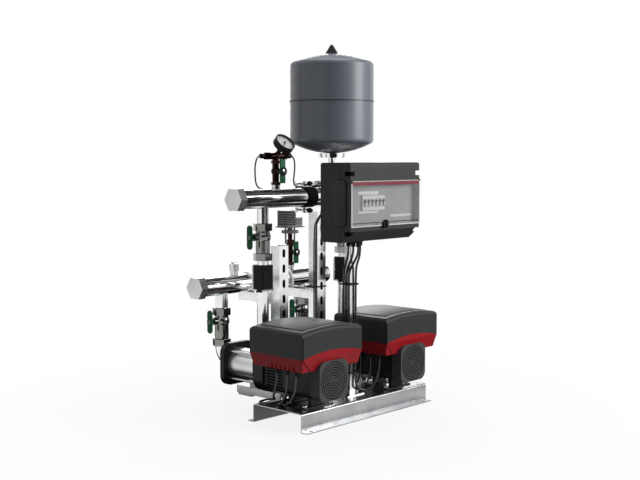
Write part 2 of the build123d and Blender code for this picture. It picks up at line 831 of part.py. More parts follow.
def make_clamps():
    """Bracket and band for the discharge manifold, arms and hook bolts for the suction one."""
    pieces = []
    plate_front = discharge_y + manifold_radius + seat_gap
    right = tall_column_x + strut_size / 2
    low = discharge_z - bracket_height / 2
    plate = block(clamp_x - clamp_width / 2, right, plate_front, column_y, low, low + bracket_height)
    ear_z = manifold_radius + seat_gap + clamp_ear / 2
    for side in (-1, 1):
        plate -= rod_y(bolt_radius + seat_gap, plate_front - 1, column_y + 1, clamp_x,
                       discharge_z + side * (ear_z + clamp_band))
    pieces.append(plate)
    inner = manifold_radius + seat_gap
    ring = Circle(inner + clamp_band) - Circle(inner)
    ring -= Pos(inner, 0) * Rectangle(2 * inner, 4 * inner)
    ring += [Pos(-clamp_band / 2, side * (inner + clamp_ear / 2)) * Rectangle(clamp_band, clamp_ear)
             for side in (-1, 1)]
    pieces.append(prism_x(ring, clamp_x - clamp_width / 2, clamp_x + clamp_width / 2,
                          discharge_y, discharge_z))
    for side in (-1, 1):
        pieces.append(bolt_y(bolt_radius, discharge_y - clamp_band, column_y, clamp_x,
                             discharge_z + side * (ear_z + clamp_band)))
    arm_top = suction_z - manifold_radius - seat_gap
    for x in (short_column_x, tall_column_x):
        arm = block(x - strut_size / 2, x + strut_size / 2, column_rear, suction_y + arm_overhang,
                    arm_top - arm_height, arm_top)
        arm -= block(x - strut_size / 2 + strut_wall, x + strut_size / 2 - strut_wall,
                     column_rear - 1, suction_y + arm_overhang + 1,
                     arm_top - arm_height - 1, arm_top - strut_wall)
        hook_x = x - strut_size / 4
        hook_radius = manifold_radius + seat_gap + bolt_radius
        path = Line((hook_x, suction_y - hook_radius, arm_top - 14), (hook_x, suction_y - hook_radius, suction_z))
        path += ThreePointArc((hook_x, suction_y - hook_radius, suction_z),
                              (hook_x, suction_y, suction_z + hook_radius),
                              (hook_x, suction_y + hook_radius, suction_z))
        path += Line((hook_x, suction_y + hook_radius, suction_z), (hook_x, suction_y + hook_radius, arm_top - 14))
        hook = sweep(Plane(origin=path @ 0, z_dir=path % 0) * Circle(bolt_radius), path=path)
        for side in (-1, 1):
            arm -= rod_z(bolt_radius + seat_gap, arm_top - strut_wall - 1, arm_top + 1,
                         hook_x, suction_y + side * hook_radius)
        pieces.append(arm)
        pieces.append(hook)
    return pieces


def small_valve_body(x, y, low, high, ball_z, radius):
    body = rod_z(radius, low, high, x, y)
    body += prism_z(hexagon(2.5 * radius), low, low + 10, x, y)
    body += prism_z(hexagon(2.5 * radius), high - 10, high, x, y)
    body += Pos(x, y, ball_z) * Sphere(1.35 * radius)
    body += rod_y(2.2 * stem_radius, y - 1.9 * radius, y, x, ball_z)
    body -= rod_z(4, low - 1, high + 1, x, y)
    body -= Pos(x, y, ball_z) * Sphere(7 + seat_gap)
    return body - rod_y(stem_radius + running_gap - 1, y - 40, y, x, ball_z)


def small_valve_lever(x, y, ball_z, offset):
    """Small ball and stem, with a wing lever turning about Y."""
    stem = stem_radius - 1
    ball = Pos(x, y, ball_z) * Sphere(7)
    ball += rod_y(stem, y - offset - lever_thickness, y, x, ball_z)
    ball -= rod_z(4, ball_z - 14, ball_z + 14, x, y)
    wing = RectangleRounded(lever_width - 1, lever_length, 3)
    lever = prism_y(wing, y - offset - lever_thickness / 2, y - offset + lever_thickness / 2, x, ball_z)
    lever += rod_y(lever_width / 2, y - offset - lever_thickness / 2, y - offset + lever_thickness, x, ball_z)
    return [ball, lever - rod_y(stem + seat_gap, y - 2 * offset, y, x, ball_z)]


def make_gauge_fittings():
    """Stem with its small valve, the tee, two pressure senders and the gauge's neck."""
    foot = discharge_z + manifold_radius + 12
    top = tee_z - gauge_stem_radius - 3
    body = small_valve_body(gauge_x, discharge_y, foot, top, gauge_valve_z, gauge_stem_radius)
    tee = rod_x(gauge_stem_radius, gauge_x - tee_arm, gauge_x + tee_arm, discharge_y, tee_z)
    tee += rod_z(gauge_stem_radius, top, tee_z, gauge_x, discharge_y)
    tee += Pos(gauge_x, discharge_y, tee_z) * Sphere(gauge_stem_radius + 2)
    neck = Pos(gauge_x, discharge_y, tee_z) * Rot(gauge_tilt, 0, 0)
    tee += neck * Pos(0, 0, (gauge_reach - gauge_depth) / 2) * Cylinder(7, gauge_reach - gauge_depth)
    pieces = [body, tee]
    for side in (-1, 1):
        start = gauge_x + side * tee_arm
        middle = start + side * sender_length * 0.45
        end = start + side * sender_length
        sender = prism_x(hexagon(22), min(start, middle), max(start, middle), discharge_y, tee_z)
        sender += rod_x(8, min(middle, end), max(middle, end), discharge_y, tee_z)
        pieces.append(sender)
    return pieces


def gauge_place():
    """Frame of the gauge: origin at the middle of its back, Z out of the dial."""
    return Pos(gauge_x, discharge_y, tee_z) * Rot(gauge_tilt, 0, 0) * Pos(0, 0, gauge_reach - gauge_depth)


def make_gauge_case():
    case = Cylinder(gauge_radius, gauge_depth, align=(Align.CENTER, Align.CENTER, Align.MIN))
    case = fillet(case.edges().group_by(Axis.Z)[0], 5)
    hollow = Cylinder(gauge_radius - gauge_bezel, gauge_depth, align=(Align.CENTER, Align.CENTER, Align.MIN))
    case -= Pos(0, 0, gauge_depth - gauge_recess) * hollow
    return gauge_place() * case


def make_gauge_dial():
    radius = gauge_radius - gauge_bezel - seat_gap
    dial = Cylinder(radius, 1, align=(Align.CENTER, Align.CENTER, Align.MIN))
    dial -= Cylinder(2 + running_gap, 10)
    return gauge_place() * Pos(0, 0, gauge_depth - gauge_recess) * dial


def make_gauge_lens():
    radius = gauge_radius - gauge_bezel - seat_gap
    lens = Cylinder(radius, gauge_lens, align=(Align.CENTER, Align.CENTER, Align.MIN))
    return gauge_place() * Pos(0, 0, gauge_depth - gauge_lens) * lens


def make_gauge_needle():
    needle = Cylinder(2, 5.5, align=(Align.CENTER, Align.CENTER, Align.MIN))
    needle += Pos(0, 0, 3) * Cylinder(3.5, 2, align=(Align.CENTER, Align.CENTER, Align.MIN))
    blade = Polygon((0, -1.4), (needle_length, -0.4), (needle_length, 0.4), (0, 1.4),
                    (-9, 1.6), (-9, -1.6), align=None)
    needle += Pos(0, 0, 3.5) * Rot(0, 0, 225) * extrude(blade, 1)
    return gauge_place() * Pos(0, 0, gauge_depth - gauge_recess + 0.2) * needle


def make_switch_fittings():
    """Stem with its small valve and the coupling under the pressure switch."""
    foot = suction_z + manifold_radius + 14
    body = small_valve_body(switch_x, suction_y, foot, switch_valve_z + 30, switch_valve_z,
                            switch_stem_radius)
    coupling = prism_z(hexagon(24), switch_valve_z + 30, switch_valve_z + 44, switch_x, suction_y)
    coupling += rod_z(8, switch_valve_z + 44, switch_flange_z, switch_x, suction_y)
    return [body, coupling]


def make_pressure_switch():
    """Bellows flange on two rods, a thin plate, the ribbed switch body and its terminal box."""
    flange = rod_z(switch_flange_radius, switch_flange_z, switch_flange_z + 11, switch_x, suction_y)
    plate_low = switch_flange_z + 20
    for side in (-1, 1):
        flange += rod_z(3, switch_flange_z - 36, plate_low, switch_x + side * 22, suction_y)
    flange += rod_z(9, switch_flange_z + 11, plate_low, switch_x, suction_y)
    plate = block(switch_x - switch_plate[0] / 2, switch_x + switch_plate[0] / 2,
                  suction_y - switch_plate[1] / 2, suction_y + switch_plate[1] / 2,
                  plate_low, plate_low + switch_plate[2])
    low = plate_low + switch_plate[2]
    left = switch_x - switch_plate[0] / 2 + 2
    body = block(left, left + switch_body[0], suction_y - switch_body[1] / 2,
                 suction_y + switch_body[1] / 2, low, low + switch_body[2])
    ribs = []
    z = low + 6
    while z < low + switch_body[2] - 4:
        ribs.append(block(left - 1, left + switch_body[0] + 1, suction_y - switch_body[1] / 2 - 1,
                          suction_y - switch_body[1] / 2 + 3, z, z + 3))
        z += 6
    right = left + switch_body[0]
    terminal = block(right, right + switch_block[0], suction_y - switch_block[1] / 2,
                     suction_y + switch_block[1] / 2, low, low + switch_block[2])
    return [flange, plate, body - ribs, terminal]


def dome_points(radius, shoulder, top, knuckle):
    """Crown and knuckle arcs of a dished end, from the axis out to the straight side."""
    height = abs(top - shoulder)
    way = 1 if top > shoulder else -1
    crown = ((radius - knuckle) ** 2 + height ** 2 - knuckle ** 2) / (2 * (height - knuckle))
    angle = asin((radius - knuckle) / (crown - knuckle))
    meet = (crown * sin(angle), top - way * (crown - crown * cos(angle)))
    mid_crown = (crown * sin(angle / 2), top - way * (crown - crown * cos(angle / 2)))
    half = (angle + radians(90)) / 2
    mid_knuckle = (radius - knuckle + knuckle * sin(half), shoulder + way * knuckle * cos(half))
    return mid_crown, meet, mid_knuckle


def tank_half(radius, seam, shoulder, top, knuckle):
    """Solid of turning of half the tank: axis, dished end and straight side."""
    mid_crown, meet, mid_knuckle = dome_points(radius, shoulder, top, knuckle)
    outline = ThreePointArc((0, top), mid_crown, meet)
    outline += ThreePointArc(meet, mid_knuckle, (radius, shoulder))
    outline += Polyline((radius, shoulder), (radius, seam), (0, seam), (0, top))
    face = make_face(Plane.XZ * outline)
    return Pos(tank_x, discharge_y, 0) * revolve(face, Axis.Z)


def make_tank_upper():
    outer = tank_half(tank_radius, tank_seam, tank_upper_shoulder, tank_top, tank_knuckle)
    inner = tank_half(tank_radius - tank_wall, tank_seam, tank_upper_shoulder, tank_top - tank_wall,
                      tank_knuckle - tank_wall)
    rim = rod_z(tank_radius + 1.5, tank_seam, tank_seam + 3, tank_x, discharge_y)
    boss = rod_z(9, tank_top - 4, tank_top + 6, tank_x, discharge_y)
    return outer + rim + boss - inner - rod_z(2, tank_top - 9, tank_top + 9, tank_x, discharge_y)


def make_tank_lower():
    outer = tank_half(tank_radius, tank_seam, tank_lower_shoulder, tank_bottom, tank_knuckle)
    inner = tank_half(tank_radius - tank_wall, tank_seam, tank_lower_shoulder, tank_bottom + tank_wall,
                      tank_knuckle - tank_wall)
    rim = rod_z(tank_radius + 1.5, tank_seam - 3, tank_seam, tank_x, discharge_y)
    return outer + rim - inner - rod_z(tank_stem_radius - 4, tank_bottom - 9, tank_bottom + 9,
                                       tank_x, discharge_y)


def make_tank_diaphragm():
    """Rubber membrane, a shallow dish hung from the seam."""
    fit = tank_wall + seat_gap
    outer = tank_half(tank_radius - fit, tank_seam, tank_seam - 60, tank_seam - 100, tank_knuckle - 6)
    inner = tank_half(tank_radius - fit - 3, tank_seam, tank_seam - 60, tank_seam - 97, tank_knuckle - 9)
    return outer - inner


def make_tank_stem():
    """Flange under the tank and the pipe down to the discharge manifold."""
    foot = discharge_z + manifold_radius + 16
    low = tank_bottom - tank_flange
    stem = rod_z(tank_stem_radius, foot, low, tank_x, discharge_y)
    stem += prism_z(hexagon(3 * tank_stem_radius), foot, foot + 16, tank_x, discharge_y)
    stem += rod_z(tank_flange_radius - 4, low - 4, low, tank_x, discharge_y)
    stem += rod_z(tank_flange_radius, low, tank_bottom, tank_x, discharge_y)
    return stem - rod_z(tank_stem_radius - 4, foot - 1, tank_bottom + 1, tank_x, discharge_y)


def make_air_cap():
    """Cone cap over the air valve on top of the tank."""
    low = tank_top + seat_gap
    outline = Polyline((0, air_cap_top), (3, air_cap_top), (5, air_cap_top - 2),
                       (air_cap_radius - 1.5, low + 4), (air_cap_radius, low + 2.5),
                       (air_cap_radius, low), (0, low), (0, air_cap_top))
    cap = Pos(tank_x, discharge_y, 0) * revolve(make_face(Plane.XZ * outline), Axis.Z)
    return cap - rod_z(9 + seat_gap, low - 1, tank_top + 6 + seat_gap, tank_x, discharge_y)


def panel_form(inset):
    """The panel's whole outside, or its inside when inset by the wall."""
    outline = Polygon((panel_rear - inset, panel_top - inset),
                      (panel_front + inset, panel_top - inset),
                      (panel_front + inset, panel_bottom + panel_slope + inset / 2),
                      (panel_front + panel_slope_depth + inset / 2, panel_bottom + inset),
                      (panel_rear - inset, panel_bottom + inset), align=None)
    form = prism_x(outline, panel_left + inset, panel_right - inset, 0, 0)
    if inset == 0:
        form = fillet(form.edges().filter_by(Axis.X).sort_by(Axis.Z)[-2:], panel_corner)
    return form


def panel_half(rear):
    """Space behind the panel's seam, or in front of it."""
    if rear:
        return block(panel_left - 9, panel_right + 9, panel_seam, panel_rear + 9, panel_bottom - 9, panel_top + 9)
    return block(panel_left - 9, panel_right + 9, panel_front - 9, panel_seam, panel_bottom - 9, panel_top + 9)


def panel_gland_places():
    """Glands under the panel: three for the left pump, one for the right pump."""
    return [(panel_gland_x, y) for y in panel_gland_y] + [(power_gland_x, panel_gland_y[2])]


def make_panel_housing():
    shell = (panel_form(0) & panel_half(True)) - panel_form(panel_wall)
    for x, y in panel_gland_places():
        shell -= rod_z(cable_radius + 3, panel_bottom - 1, panel_bottom + panel_wall + 1, x, y)
    for z in (panel_bottom + 45, panel_top - 60):
        shell -= rod_y(bolt_radius + seat_gap, panel_rear - panel_wall - 1, panel_rear + 1, 0, z)
    return shell


def make_panel_cover():
    """Front of the panel, with the recessed bay around the breakers."""
    shell = (panel_form(0) & panel_half(False)) - panel_form(panel_wall)
    left = panel_left + bay_side
    right = panel_right - bay_side
    floor = panel_front + bay_depth
    bay = block(left - panel_wall, right + panel_wall, panel_front, floor + panel_wall,
                bay_bottom - panel_wall, bay_top + panel_wall)
    shell += bay & panel_form(0)
    shell -= block(left, right, panel_front - 9, floor, bay_bottom, bay_top)
    row = breaker_count * breaker_width
    shell -= block(breaker_left - 1, breaker_left + row + 1, floor - 1, floor + panel_wall + 1,
                   toggle_z - breaker_nose / 2 - 1, toggle_z + breaker_nose / 2 + 1)
    pivot_y, pivot_z = window_pivot()
    for x0 in (panel_left, panel_right - lug_width):
        shell += block(x0, x0 + lug_width, panel_front - window_gap - lug_reach, panel_front,
                       pivot_z - lug_height / 2, pivot_z + lug_height / 2)
    shell -= rod_x(hinge_radius + running_gap, panel_left, panel_right, pivot_y, pivot_z)
    catch = latch_catch_y()
    for x0 in (panel_left, panel_right - notch_width):
        for z0 in notch_levels:
            pocket = block(x0, x0 + notch_width, panel_front, panel_front + notch_depth, z0, z0 + notch_height)
            wall = block(x0 - panel_wall, x0 + notch_width + panel_wall, panel_front,
                         panel_front + notch_depth + panel_wall, z0 - panel_wall, z0 + notch_height + panel_wall)
            shell += wall & panel_form(0)
            shell -= pocket
    return shell - block(latch_x - 2 * catch_width, latch_x + catch_reach + 1, catch - 1,
                         catch + catch_thickness + 1, bay_bottom - panel_wall - 1, bay_bottom + 1)


def latch_catch_y():
    """Front of the latch's catch, behind the edge of the cover."""
    return panel_front + panel_wall + 1


def window_pivot():
    return panel_front - window_gap - window_thickness / 2, bay_top + 2


def make_window():
    """Clear flap over the whole front of the bay, on two pins between the cover's lugs."""
    pivot_y, pivot_z = window_pivot()
    near = panel_front - window_gap
    flap = block(panel_left, panel_right, near - window_thickness, near, bay_bottom - 2, pivot_z)
    flap += rod_x(window_thickness / 2, panel_left, panel_right, pivot_y, pivot_z)
    for x0 in (panel_left, panel_right - lug_width):
        flap -= block(x0 - seat_gap, x0 + lug_width + seat_gap, panel_front - 9, panel_front + 9,
                      pivot_z - lug_height, pivot_z + lug_height)
    flap += rod_x(hinge_radius, panel_left + 1, panel_right - 1, pivot_y, pivot_z)
    return flap - rod_y(catch_width / 2 + running_gap, near - 9, near + 9, latch_x, latch_z)


def make_window_latch():
    """Quarter-turn knob through the flap, with a catch behind it."""
    face = panel_front - window_gap - window_thickness - seat_gap
    knob = rod_y(latch_radius, face - 5, face, latch_x, latch_z)
    knob += block(latch_x - 2, latch_x + 2, face - 9, face - 4, latch_z - latch_radius, latch_z + latch_radius)
    rear = latch_catch_y()
    knob += rod_y(catch_width / 2, face, rear + catch_thickness, latch_x, latch_z)
    return knob + block(latch_x - catch_width / 2, latch_x + catch_reach, rear, rear + catch_thickness,
                        latch_z - catch_width / 2, latch_z + catch_width / 2)


def toggle_pivot_y():
    return panel_front + bay_depth - breaker_proud + 3


def make_breakers():
    """Row of breaker modules on their rail, and the rail's carrier plate."""
    front = panel_front + bay_depth - breaker_proud
    step = panel_front + bay_depth + panel_wall + 1
    rear = panel_seam + 30
    row = breaker_count * breaker_width
    modules = []
    for index in range(breaker_count):
        left = breaker_left + index * breaker_width
        right = left + breaker_width - seat_gap
        module = block(left, right, step, rear - 8, toggle_z - breaker_height / 2, toggle_z + breaker_height / 2)
        module += block(left, right, front, rear - 8, toggle_z - breaker_nose / 2, toggle_z + breaker_nose / 2)
        module -= block(left - 1, left + breaker_width + 1, front - 1,
                        toggle_pivot_y() + toggle_radius + seat_gap, toggle_z - 12, toggle_z + 12)
        modules.append(module)
    rail = block(breaker_left - 40, breaker_left + row + 40, rear - 7.7, rear - 4.7, toggle_z - 17, toggle_z + 17)
    plate = block(panel_left + 20, panel_right - 20, rear - 4.4, rear - 1.4, panel_bottom + 30, panel_top - 30)
    stands = [rod_y(5, rear - 1.4, panel_rear - panel_wall, x, z)
              for x in (panel_left + 40, panel_right - 40) for z in (panel_bottom + 60, panel_top - 60)]
    plate += stands
    return modules + [rail, plate]


def make_toggles(first):
    """Three toggles tied by a bar, for one pump."""
    pivot = toggle_pivot_y()
    left = breaker_left + first * breaker_width + 1
    right = left + 3 * breaker_width - 2 - seat_gap
    bar = rod_x(toggle_radius, left, right, pivot, toggle_z)
    arm = Pos((left + right) / 2, pivot, toggle_z) * Rot(-40, 0, 0)
    return bar + arm * Pos(0, -toggle_length / 2, 0) * Box(right - left, toggle_length, 4)


def make_post():
    """Square tube on a foot plate, with two brackets to the panel's back."""
    half = post_size / 2
    foot_top = base_height + post_foot[2]
    post = block(-half, half, post_front, post_rear, foot_top, post_top)
    post -= block(-half + post_wall, half - post_wall, post_front + post_wall, post_rear - post_wall,
                  foot_top, post_top + 1)
    foot = block(-post_foot[0] / 2, post_foot[0] / 2, post_middle - post_foot[1] / 2,
                 post_middle + post_foot[1] / 2, base_height, foot_top)
    for side in (-1, 1):
        foot -= rod_z(bolt_radius + seat_gap, base_height - 1, foot_top + 1,
                      side * (post_foot[0] / 2 - 10), post_middle)
    for z in (panel_bottom + 45, panel_top - 60):
        post += block(-45, 45, panel_rear, post_front, z - 15, z + 15)
        post -= rod_y(bolt_radius + seat_gap, panel_rear - 1, post_front + post_wall + 1, 0, z)
    return post + foot


def make_glands():
    """Cable glands under the drive boxes and the panel."""
    glands = []
    for x in pump_places:
        gland_x = gland_place(x)
        for y in pump_gland_y:
            gland = prism_z(hexagon(2 * gland_radius), box_bottom - 7, box_bottom, gland_x, y)
            gland += rod_z(gland_radius - 2, box_bottom - gland_length, box_bottom - 7, gland_x, y)
            gland -= rod_z(cable_radius + seat_gap, box_bottom - gland_length - 1, box_bottom + 1, gland_x, y)
            glands.append(gland)
    for x, y in panel_gland_places():
        gland = prism_z(hexagon(2.2 * gland_radius), panel_bottom - 8, panel_bottom, x, y)
        gland += rod_z(gland_radius - 1, panel_bottom - gland_length - 4, panel_bottom - 8, x, y)
        gland -= rod_z(cable_radius + seat_gap, panel_bottom - gland_length - 5, panel_bottom + 1, x, y)
        glands.append(gland)
    return glands


def bend_radii(points):
    """The largest arc that each corner of a cable's route leaves room for."""
    spots = [Vector(*point) for point in points]
    radii = []
    for before, here, after in zip(spots, spots[1:], spots[2:]):
        turn = (here - before).get_angle(after - here)
        shorter = min((here - before).length, (after - here).length)
        radii.append(0.45 * shorter / tan(radians(turn) / 2))
    return radii


def make_cable(name, points, radius):
    """A round cable along straight runs joined by arcs."""
    path = FilletPolyline(*points, radius=bend_radii(points))
    section = Plane(origin=path @ 0, z_dir=path % 0) * Circle(radius)
    cable = sweep(section, path=path)
    section_area = 3.14159265 * radius ** 2
    print(name, "length", round(path.length), "tightest", round(min(bend_radii(points)), 1),
          "volume ratio", round(cable.volume / section_area / path.length, 4))
    return cable


def left_pump_routes():
    """From each gland of the left pump, under its motor and up the post's left side.

    The last cable lies in a loop on the base before it goes under the motor.
    """
    gland_x = gland_place(pump_places[0])
    low = base_height + cable_radius + seat_gap
    post_x = -post_size / 2 - cable_radius - 2
    routes = []
    for index, gland_y in enumerate(pump_gland_y):
        lane = 29 + 10.5 * index
        rise_y = post_middle - 10.5 + 10.5 * index
        ahead = lane - gland_y
        panel_y = panel_gland_y[index]
        start = [(gland_x, gland_y, box_bottom + 6),
                 (gland_x, gland_y, 150)]
        straight_down = [(gland_x + 3, gland_y + 0.1 * ahead, 112),
                         (gland_x + 13, gland_y + 0.36 * ahead, 80),
                         (gland_x + 25, gland_y + 0.72 * ahead, low + 2),
                         (gland_x + 45, lane - 4, low)]
        spare_loop = [(gland_x + 4, gland_y + 16, 106),
                      (gland_x + 20, gland_y + 38, 86),
                      (gland_x + 48, gland_y + 56, 71),
                      (gland_x + 62, 97, low + 2),
                      (gland_x + 12, 97, low),
                      (gland_x + 12, lane, low + 0.2)]
        down = spare_loop if index == 2 else straight_down
        routes.append(start + down + [
            (gland_x + 80, lane + 0.6, low + 0.2),
            (gland_x + 150, lane + 0.3, low),
            (gland_x + 175, lane, low + 0.2),
            (post_x - (lane - rise_y) - 15, lane, low),
            (post_x - 34, rise_y + 34, low + 1),
            (post_x - 9, rise_y + 9, low + 14),
            (post_x, rise_y, low + 44),
            (post_x - 0.2, rise_y, 170),
            (post_x, rise_y, 230),
            (post_x - 0.2, rise_y, 290),
            (post_x, rise_y, 350),
            (post_x - 0.2, rise_y, 392),
            (post_x, rise_y, 432),
            (post_x - 4, rise_y + 0.15 * (panel_y - rise_y), 462),
            (post_x - 16, rise_y + 0.58 * (panel_y - rise_y), 487),
            (panel_gland_x + 2, panel_y - 0.08 * (panel_y - rise_y), 510),
            (panel_gland_x, panel_y, 528),
            (panel_gland_x, panel_y, panel_bottom + 10)])
    return routes


def right_pump_route():
    """Power cable of the right pump: to the post's front and up into the panel."""
    gland_x = gland_place(pump_places[1])
    gland_y = pump_gland_y[0]
    low = base_height + cable_radius + seat_gap
    front = post_front - cable_radius - 1.5
    return [(gland_x, gland_y, box_bottom + 6),
            (gland_x, gland_y, 150),
            (gland_x - 5, gland_y + 3, 112),
            (gland_x - 17, gland_y + 11, 80),
            (gland_x - 36, gland_y + 24, low + 6),
            (9.5, front - 4, 79),
            (8.2, front, 112),
            (8, front, 150),
            (8.2, front, 205),
            (8, front, 260),
            (8.2, front, 315),
            (8, front, 370),
            (8.2, front - 0.3, 425),
            (8.6, front - 2, 470),
            (power_gland_x - 0.4, panel_gland_y[2] + 2, 502),
            (power_gland_x, panel_gland_y[2], 528),
            (power_gland_x, panel_gland_y[2], panel_bottom + 10)]


def over_manifold(offset):
    """Height of a sensor lead that lies on the discharge manifold, this far off its top line."""
    reach = manifold_radius + lead_radius + 2 * running_gap + 0.9
    return discharge_z + sqrt(reach ** 2 - offset ** 2)


def round_manifold(x, turn):
    """A point in front of the manifold, turned forwards from its top."""
    reach = manifold_radius + 3 * lead_radius
    return (x, discharge_y - reach * sin(radians(turn)), discharge_z + reach * cos(radians(turn)))


def right_sender_start(lane):
    sender = gauge_x + tee_arm + sender_length
    y = discharge_y
    return [(sender, y, tee_z), (sender + 8, y, tee_z), (sender + 18, y, tee_z - 10),
            (sender + 22, y + 0.5, tee_z - 31), (sender + 19.5, y + 1, tee_z - 58),
            (sender + 19, lane - 2, tee_z - 80), (sender + 25, lane, over_manifold(6) + 5),
            (sender + 43, lane, over_manifold(6)), (clamp_x - 14, lane + 0.4, over_manifold(6))]


def left_sender_start(lane):
    sender = gauge_x - tee_arm - sender_length
    y = discharge_y
    low = over_manifold(lane - y)
    return [(sender, y, tee_z), (sender - 8, y, tee_z), (sender - 18, y + 1, tee_z - 11),
            (sender - 22, y + 3, tee_z - 33), (sender - 18, y + 7, tee_z - 62),
            (sender - 8, lane - 5, tee_z - 86), (sender + 6, lane - 1, low + 6),
            (sender + 30, lane, low), (sender + 68, lane + 0.4, low), (sender + 106, lane, low),
            (sender + 146, lane + 0.4, low), (clamp_x - 22, lane, low)]


def sensor_routes():
    """From the two senders over the manifold, down the tall column, to the right drive box."""
    gland_x = gland_place(pump_places[1])
    low = base_height + lead_radius + seat_gap
    routes = []
    for index, offset in enumerate((6, 19)):
        lane = discharge_y + offset
        over = over_manifold(offset)
        start = left_sender_start(lane) if index else right_sender_start(lane)
        cross_x = clamp_x + 50 + 12 * index
        down_x = tall_column_x - strut_size / 2 - lead_radius - 9 + 8 * index
        middle = [(clamp_x + 14, lane + 0.3, over), (cross_x - 10, lane, over + 3),
                  round_manifold(cross_x + 3, 12), round_manifold(cross_x + 10, 50),
                  round_manifold(cross_x + 14, 90), round_manifold(cross_x + 17, 130),
                  (down_x - 5, discharge_y - 4, discharge_z - 54),
                  (down_x - 1, column_y - 14, discharge_z - 73),
                  (down_x, column_y + 2, discharge_z - 98)]
        routes.append(start + middle + lead_descent(down_x, gland_x, pump_gland_y[1 + index], low, index))
    return routes


def lead_descent(down_x, gland_x, gland_y, low, index):
    """Lower part of a sensor lead: down beside the column, over the base, up to its gland."""
    beside = column_y + 5
    points = [(down_x, beside - 2, discharge_z - 128)]
    height = discharge_z - 172
    while height > 190:
        points.append((down_x - 0.3 * (len(points) % 2), beside, height))
        height -= 50
    out_x = gland_x - 10 + 14 * index
    points += [(down_x, beside - 1, 152), (down_x - 1, beside - 12, 122), (down_x - 4, beside - 34, 96),
               (out_x + 5, 158, 77), (out_x + 2, 124, 65), (out_x, 92, low + 0.6), (out_x - 0.5, 60, low),
               (out_x, 36, low + 0.2)]
    if index == 0:
        points += [(out_x - 0.4, 12, low), (out_x, -10, low + 0.2)]
    rise = gland_x - out_x
    points += [(out_x + 0.2 * rise, gland_y + 30, low + 4), (out_x + 0.6 * rise, gland_y + 14, 80),
               (gland_x - 0.1 * rise, gland_y + 4, 108), (gland_x, gland_y, 145),
               (gland_x, gland_y, box_bottom + 6)]
    return points


def make_pump_cables():
    cables = [make_cable("left pump cable", route, cable_radius) for route in left_pump_routes()]
    return cables + [make_cable("right pump cable", right_pump_route(), cable_radius)]


def make_sensor_leads():
    return [make_cable("sensor lead", route, lead_radius) for route in sensor_routes()]


def make_ties():
    """Cable ties: round the post, and round the tall column."""
    ties = []
    half = post_size / 2
    bundle = 2 * cable_radius + 4
    for z in post_tie_z:
        band = block(-half - bundle - 2, half + 2, post_front - bundle - 2, post_rear + 5, z, z + 5)
        band -= block(-half - bundle, half + seat_gap, post_front - bundle, post_rear + 3, z - 1, z + 6)
        ties.append(band)
    z = column_tie_z
    side = strut_size / 2
    wrap = 2 * lead_radius + 12
    band = block(tall_column_x - side - wrap - 2, tall_column_x + side + 2, column_y - 2, column_rear + 2,
                 z, z + 5)
    band -= block(tall_column_x - side - wrap, tall_column_x + side + seat_gap, column_y - seat_gap,
                  column_rear + seat_gap, z - 1, z + 6)
    ties.append(band)
    return ties


def save(name, shapes):
    """Write one node, with each of its pieces as a solid of its own."""
    if not isinstance(shapes, (list, tuple)):
        shapes = [shapes]
    solids = [solid for shape in shapes for solid in shape.solids()]
    whole = solids[0] if len(solids) == 1 else Compound(children=solids)
    export_step(whole, "parts/" + name + ".step")


def each_pump(make):
    """The same piece for both pumps."""
    pieces = []
    for x in pump_places:
        piece = make(x)
        pieces += piece if isinstance(piece, list) else [piece]
    return pieces


os.makedirs("parts", exist_ok=True)

save("base_plate", make_base_plate())
save("rear_frame", make_rear_frame())
save("short_column", make_column(short_column_x, short_column_top, short_slot_start))
save("tall_column", make_column(tall_column_x, tall_column_top, tall_slot_start))
save("panel_post", make_post())
save("pipe_clamps", make_clamps())
save("foot_bolts", make_foot_bolts())

save("motor_housings", each_pump(make_motor))
save("motor_stators", each_pump(make_stator))
save("fan_covers", each_pump(make_fan_cover))
save("bearings_and_seals", make_bearings())
save("pump_heads", each_pump(make_pump_head))
save("pump_sleeves", each_pump(make_sleeve))
save("inlet_covers", each_pump(make_inlet_cover))
save("tie_rods", make_tie_rods())
save("drive_box_bases", each_pump(make_box_base))
save("drive_box_covers", each_pump(make_box_cover))
save("drive_boards", each_pump(make_drive_board))

save("suction_manifold", make_suction_manifold())
save("discharge_manifold", make_discharge_manifold())
save("manifold_caps", make_caps())
save("branch_pipes", each_pump(make_suction_pipe) + each_pump(make_riser))
save("union_nuts", make_union_nuts())
save("valve_bodies", make_valve_bodies())
save("check_valve_bodies", each_pump(make_check_body))
save("check_valve_straps", make_check_straps())

for number, pump_x in enumerate(pump_places, start=1):
    save("shaft_" + str(number), make_shaft(pump_x))
    save("fan_" + str(number), make_fan(pump_x))
    save("suction_lever_" + str(number), make_lever(*suction_valve(pump_x)))
    save("discharge_lever_" + str(number), make_lever(*discharge_valve(pump_x)))
    save("check_disc_" + str(number), make_check_disc(pump_x))
    save("breaker_toggles_" + str(number), make_toggles(3 * number - 3))

save("sensor_fittings", make_gauge_fittings() + make_switch_fittings())
save("gauge_valve_lever", small_valve_lever(gauge_x, discharge_y, gauge_valve_z, 31))
save("gauge_case", make_gauge_case())
save("gauge_dial", make_gauge_dial())
save("gauge_needle", make_gauge_needle())
save("gauge_lens", make_gauge_lens())
save("switch_valve_lever", small_valve_lever(switch_x, suction_y, switch_valve_z, 29))
save("pressure_switch", make_pressure_switch())

save("tank_upper_shell", make_tank_upper())
save("tank_lower_shell", make_tank_lower())
save("tank_diaphragm", make_tank_diaphragm())
save("tank_stem", make_tank_stem())
save("tank_air_cap", make_air_cap())

save("panel_housing", make_panel_housing())
save("panel_cover", make_panel_cover())
save("panel_window", make_window())
save("window_latch", make_window_latch())
save("breakers", make_breakers())
save("cable_glands", make_glands())
save("pump_cables", make_pump_cables())
save("sensor_leads", make_sensor_leads())
save("cable_ties", make_ties())
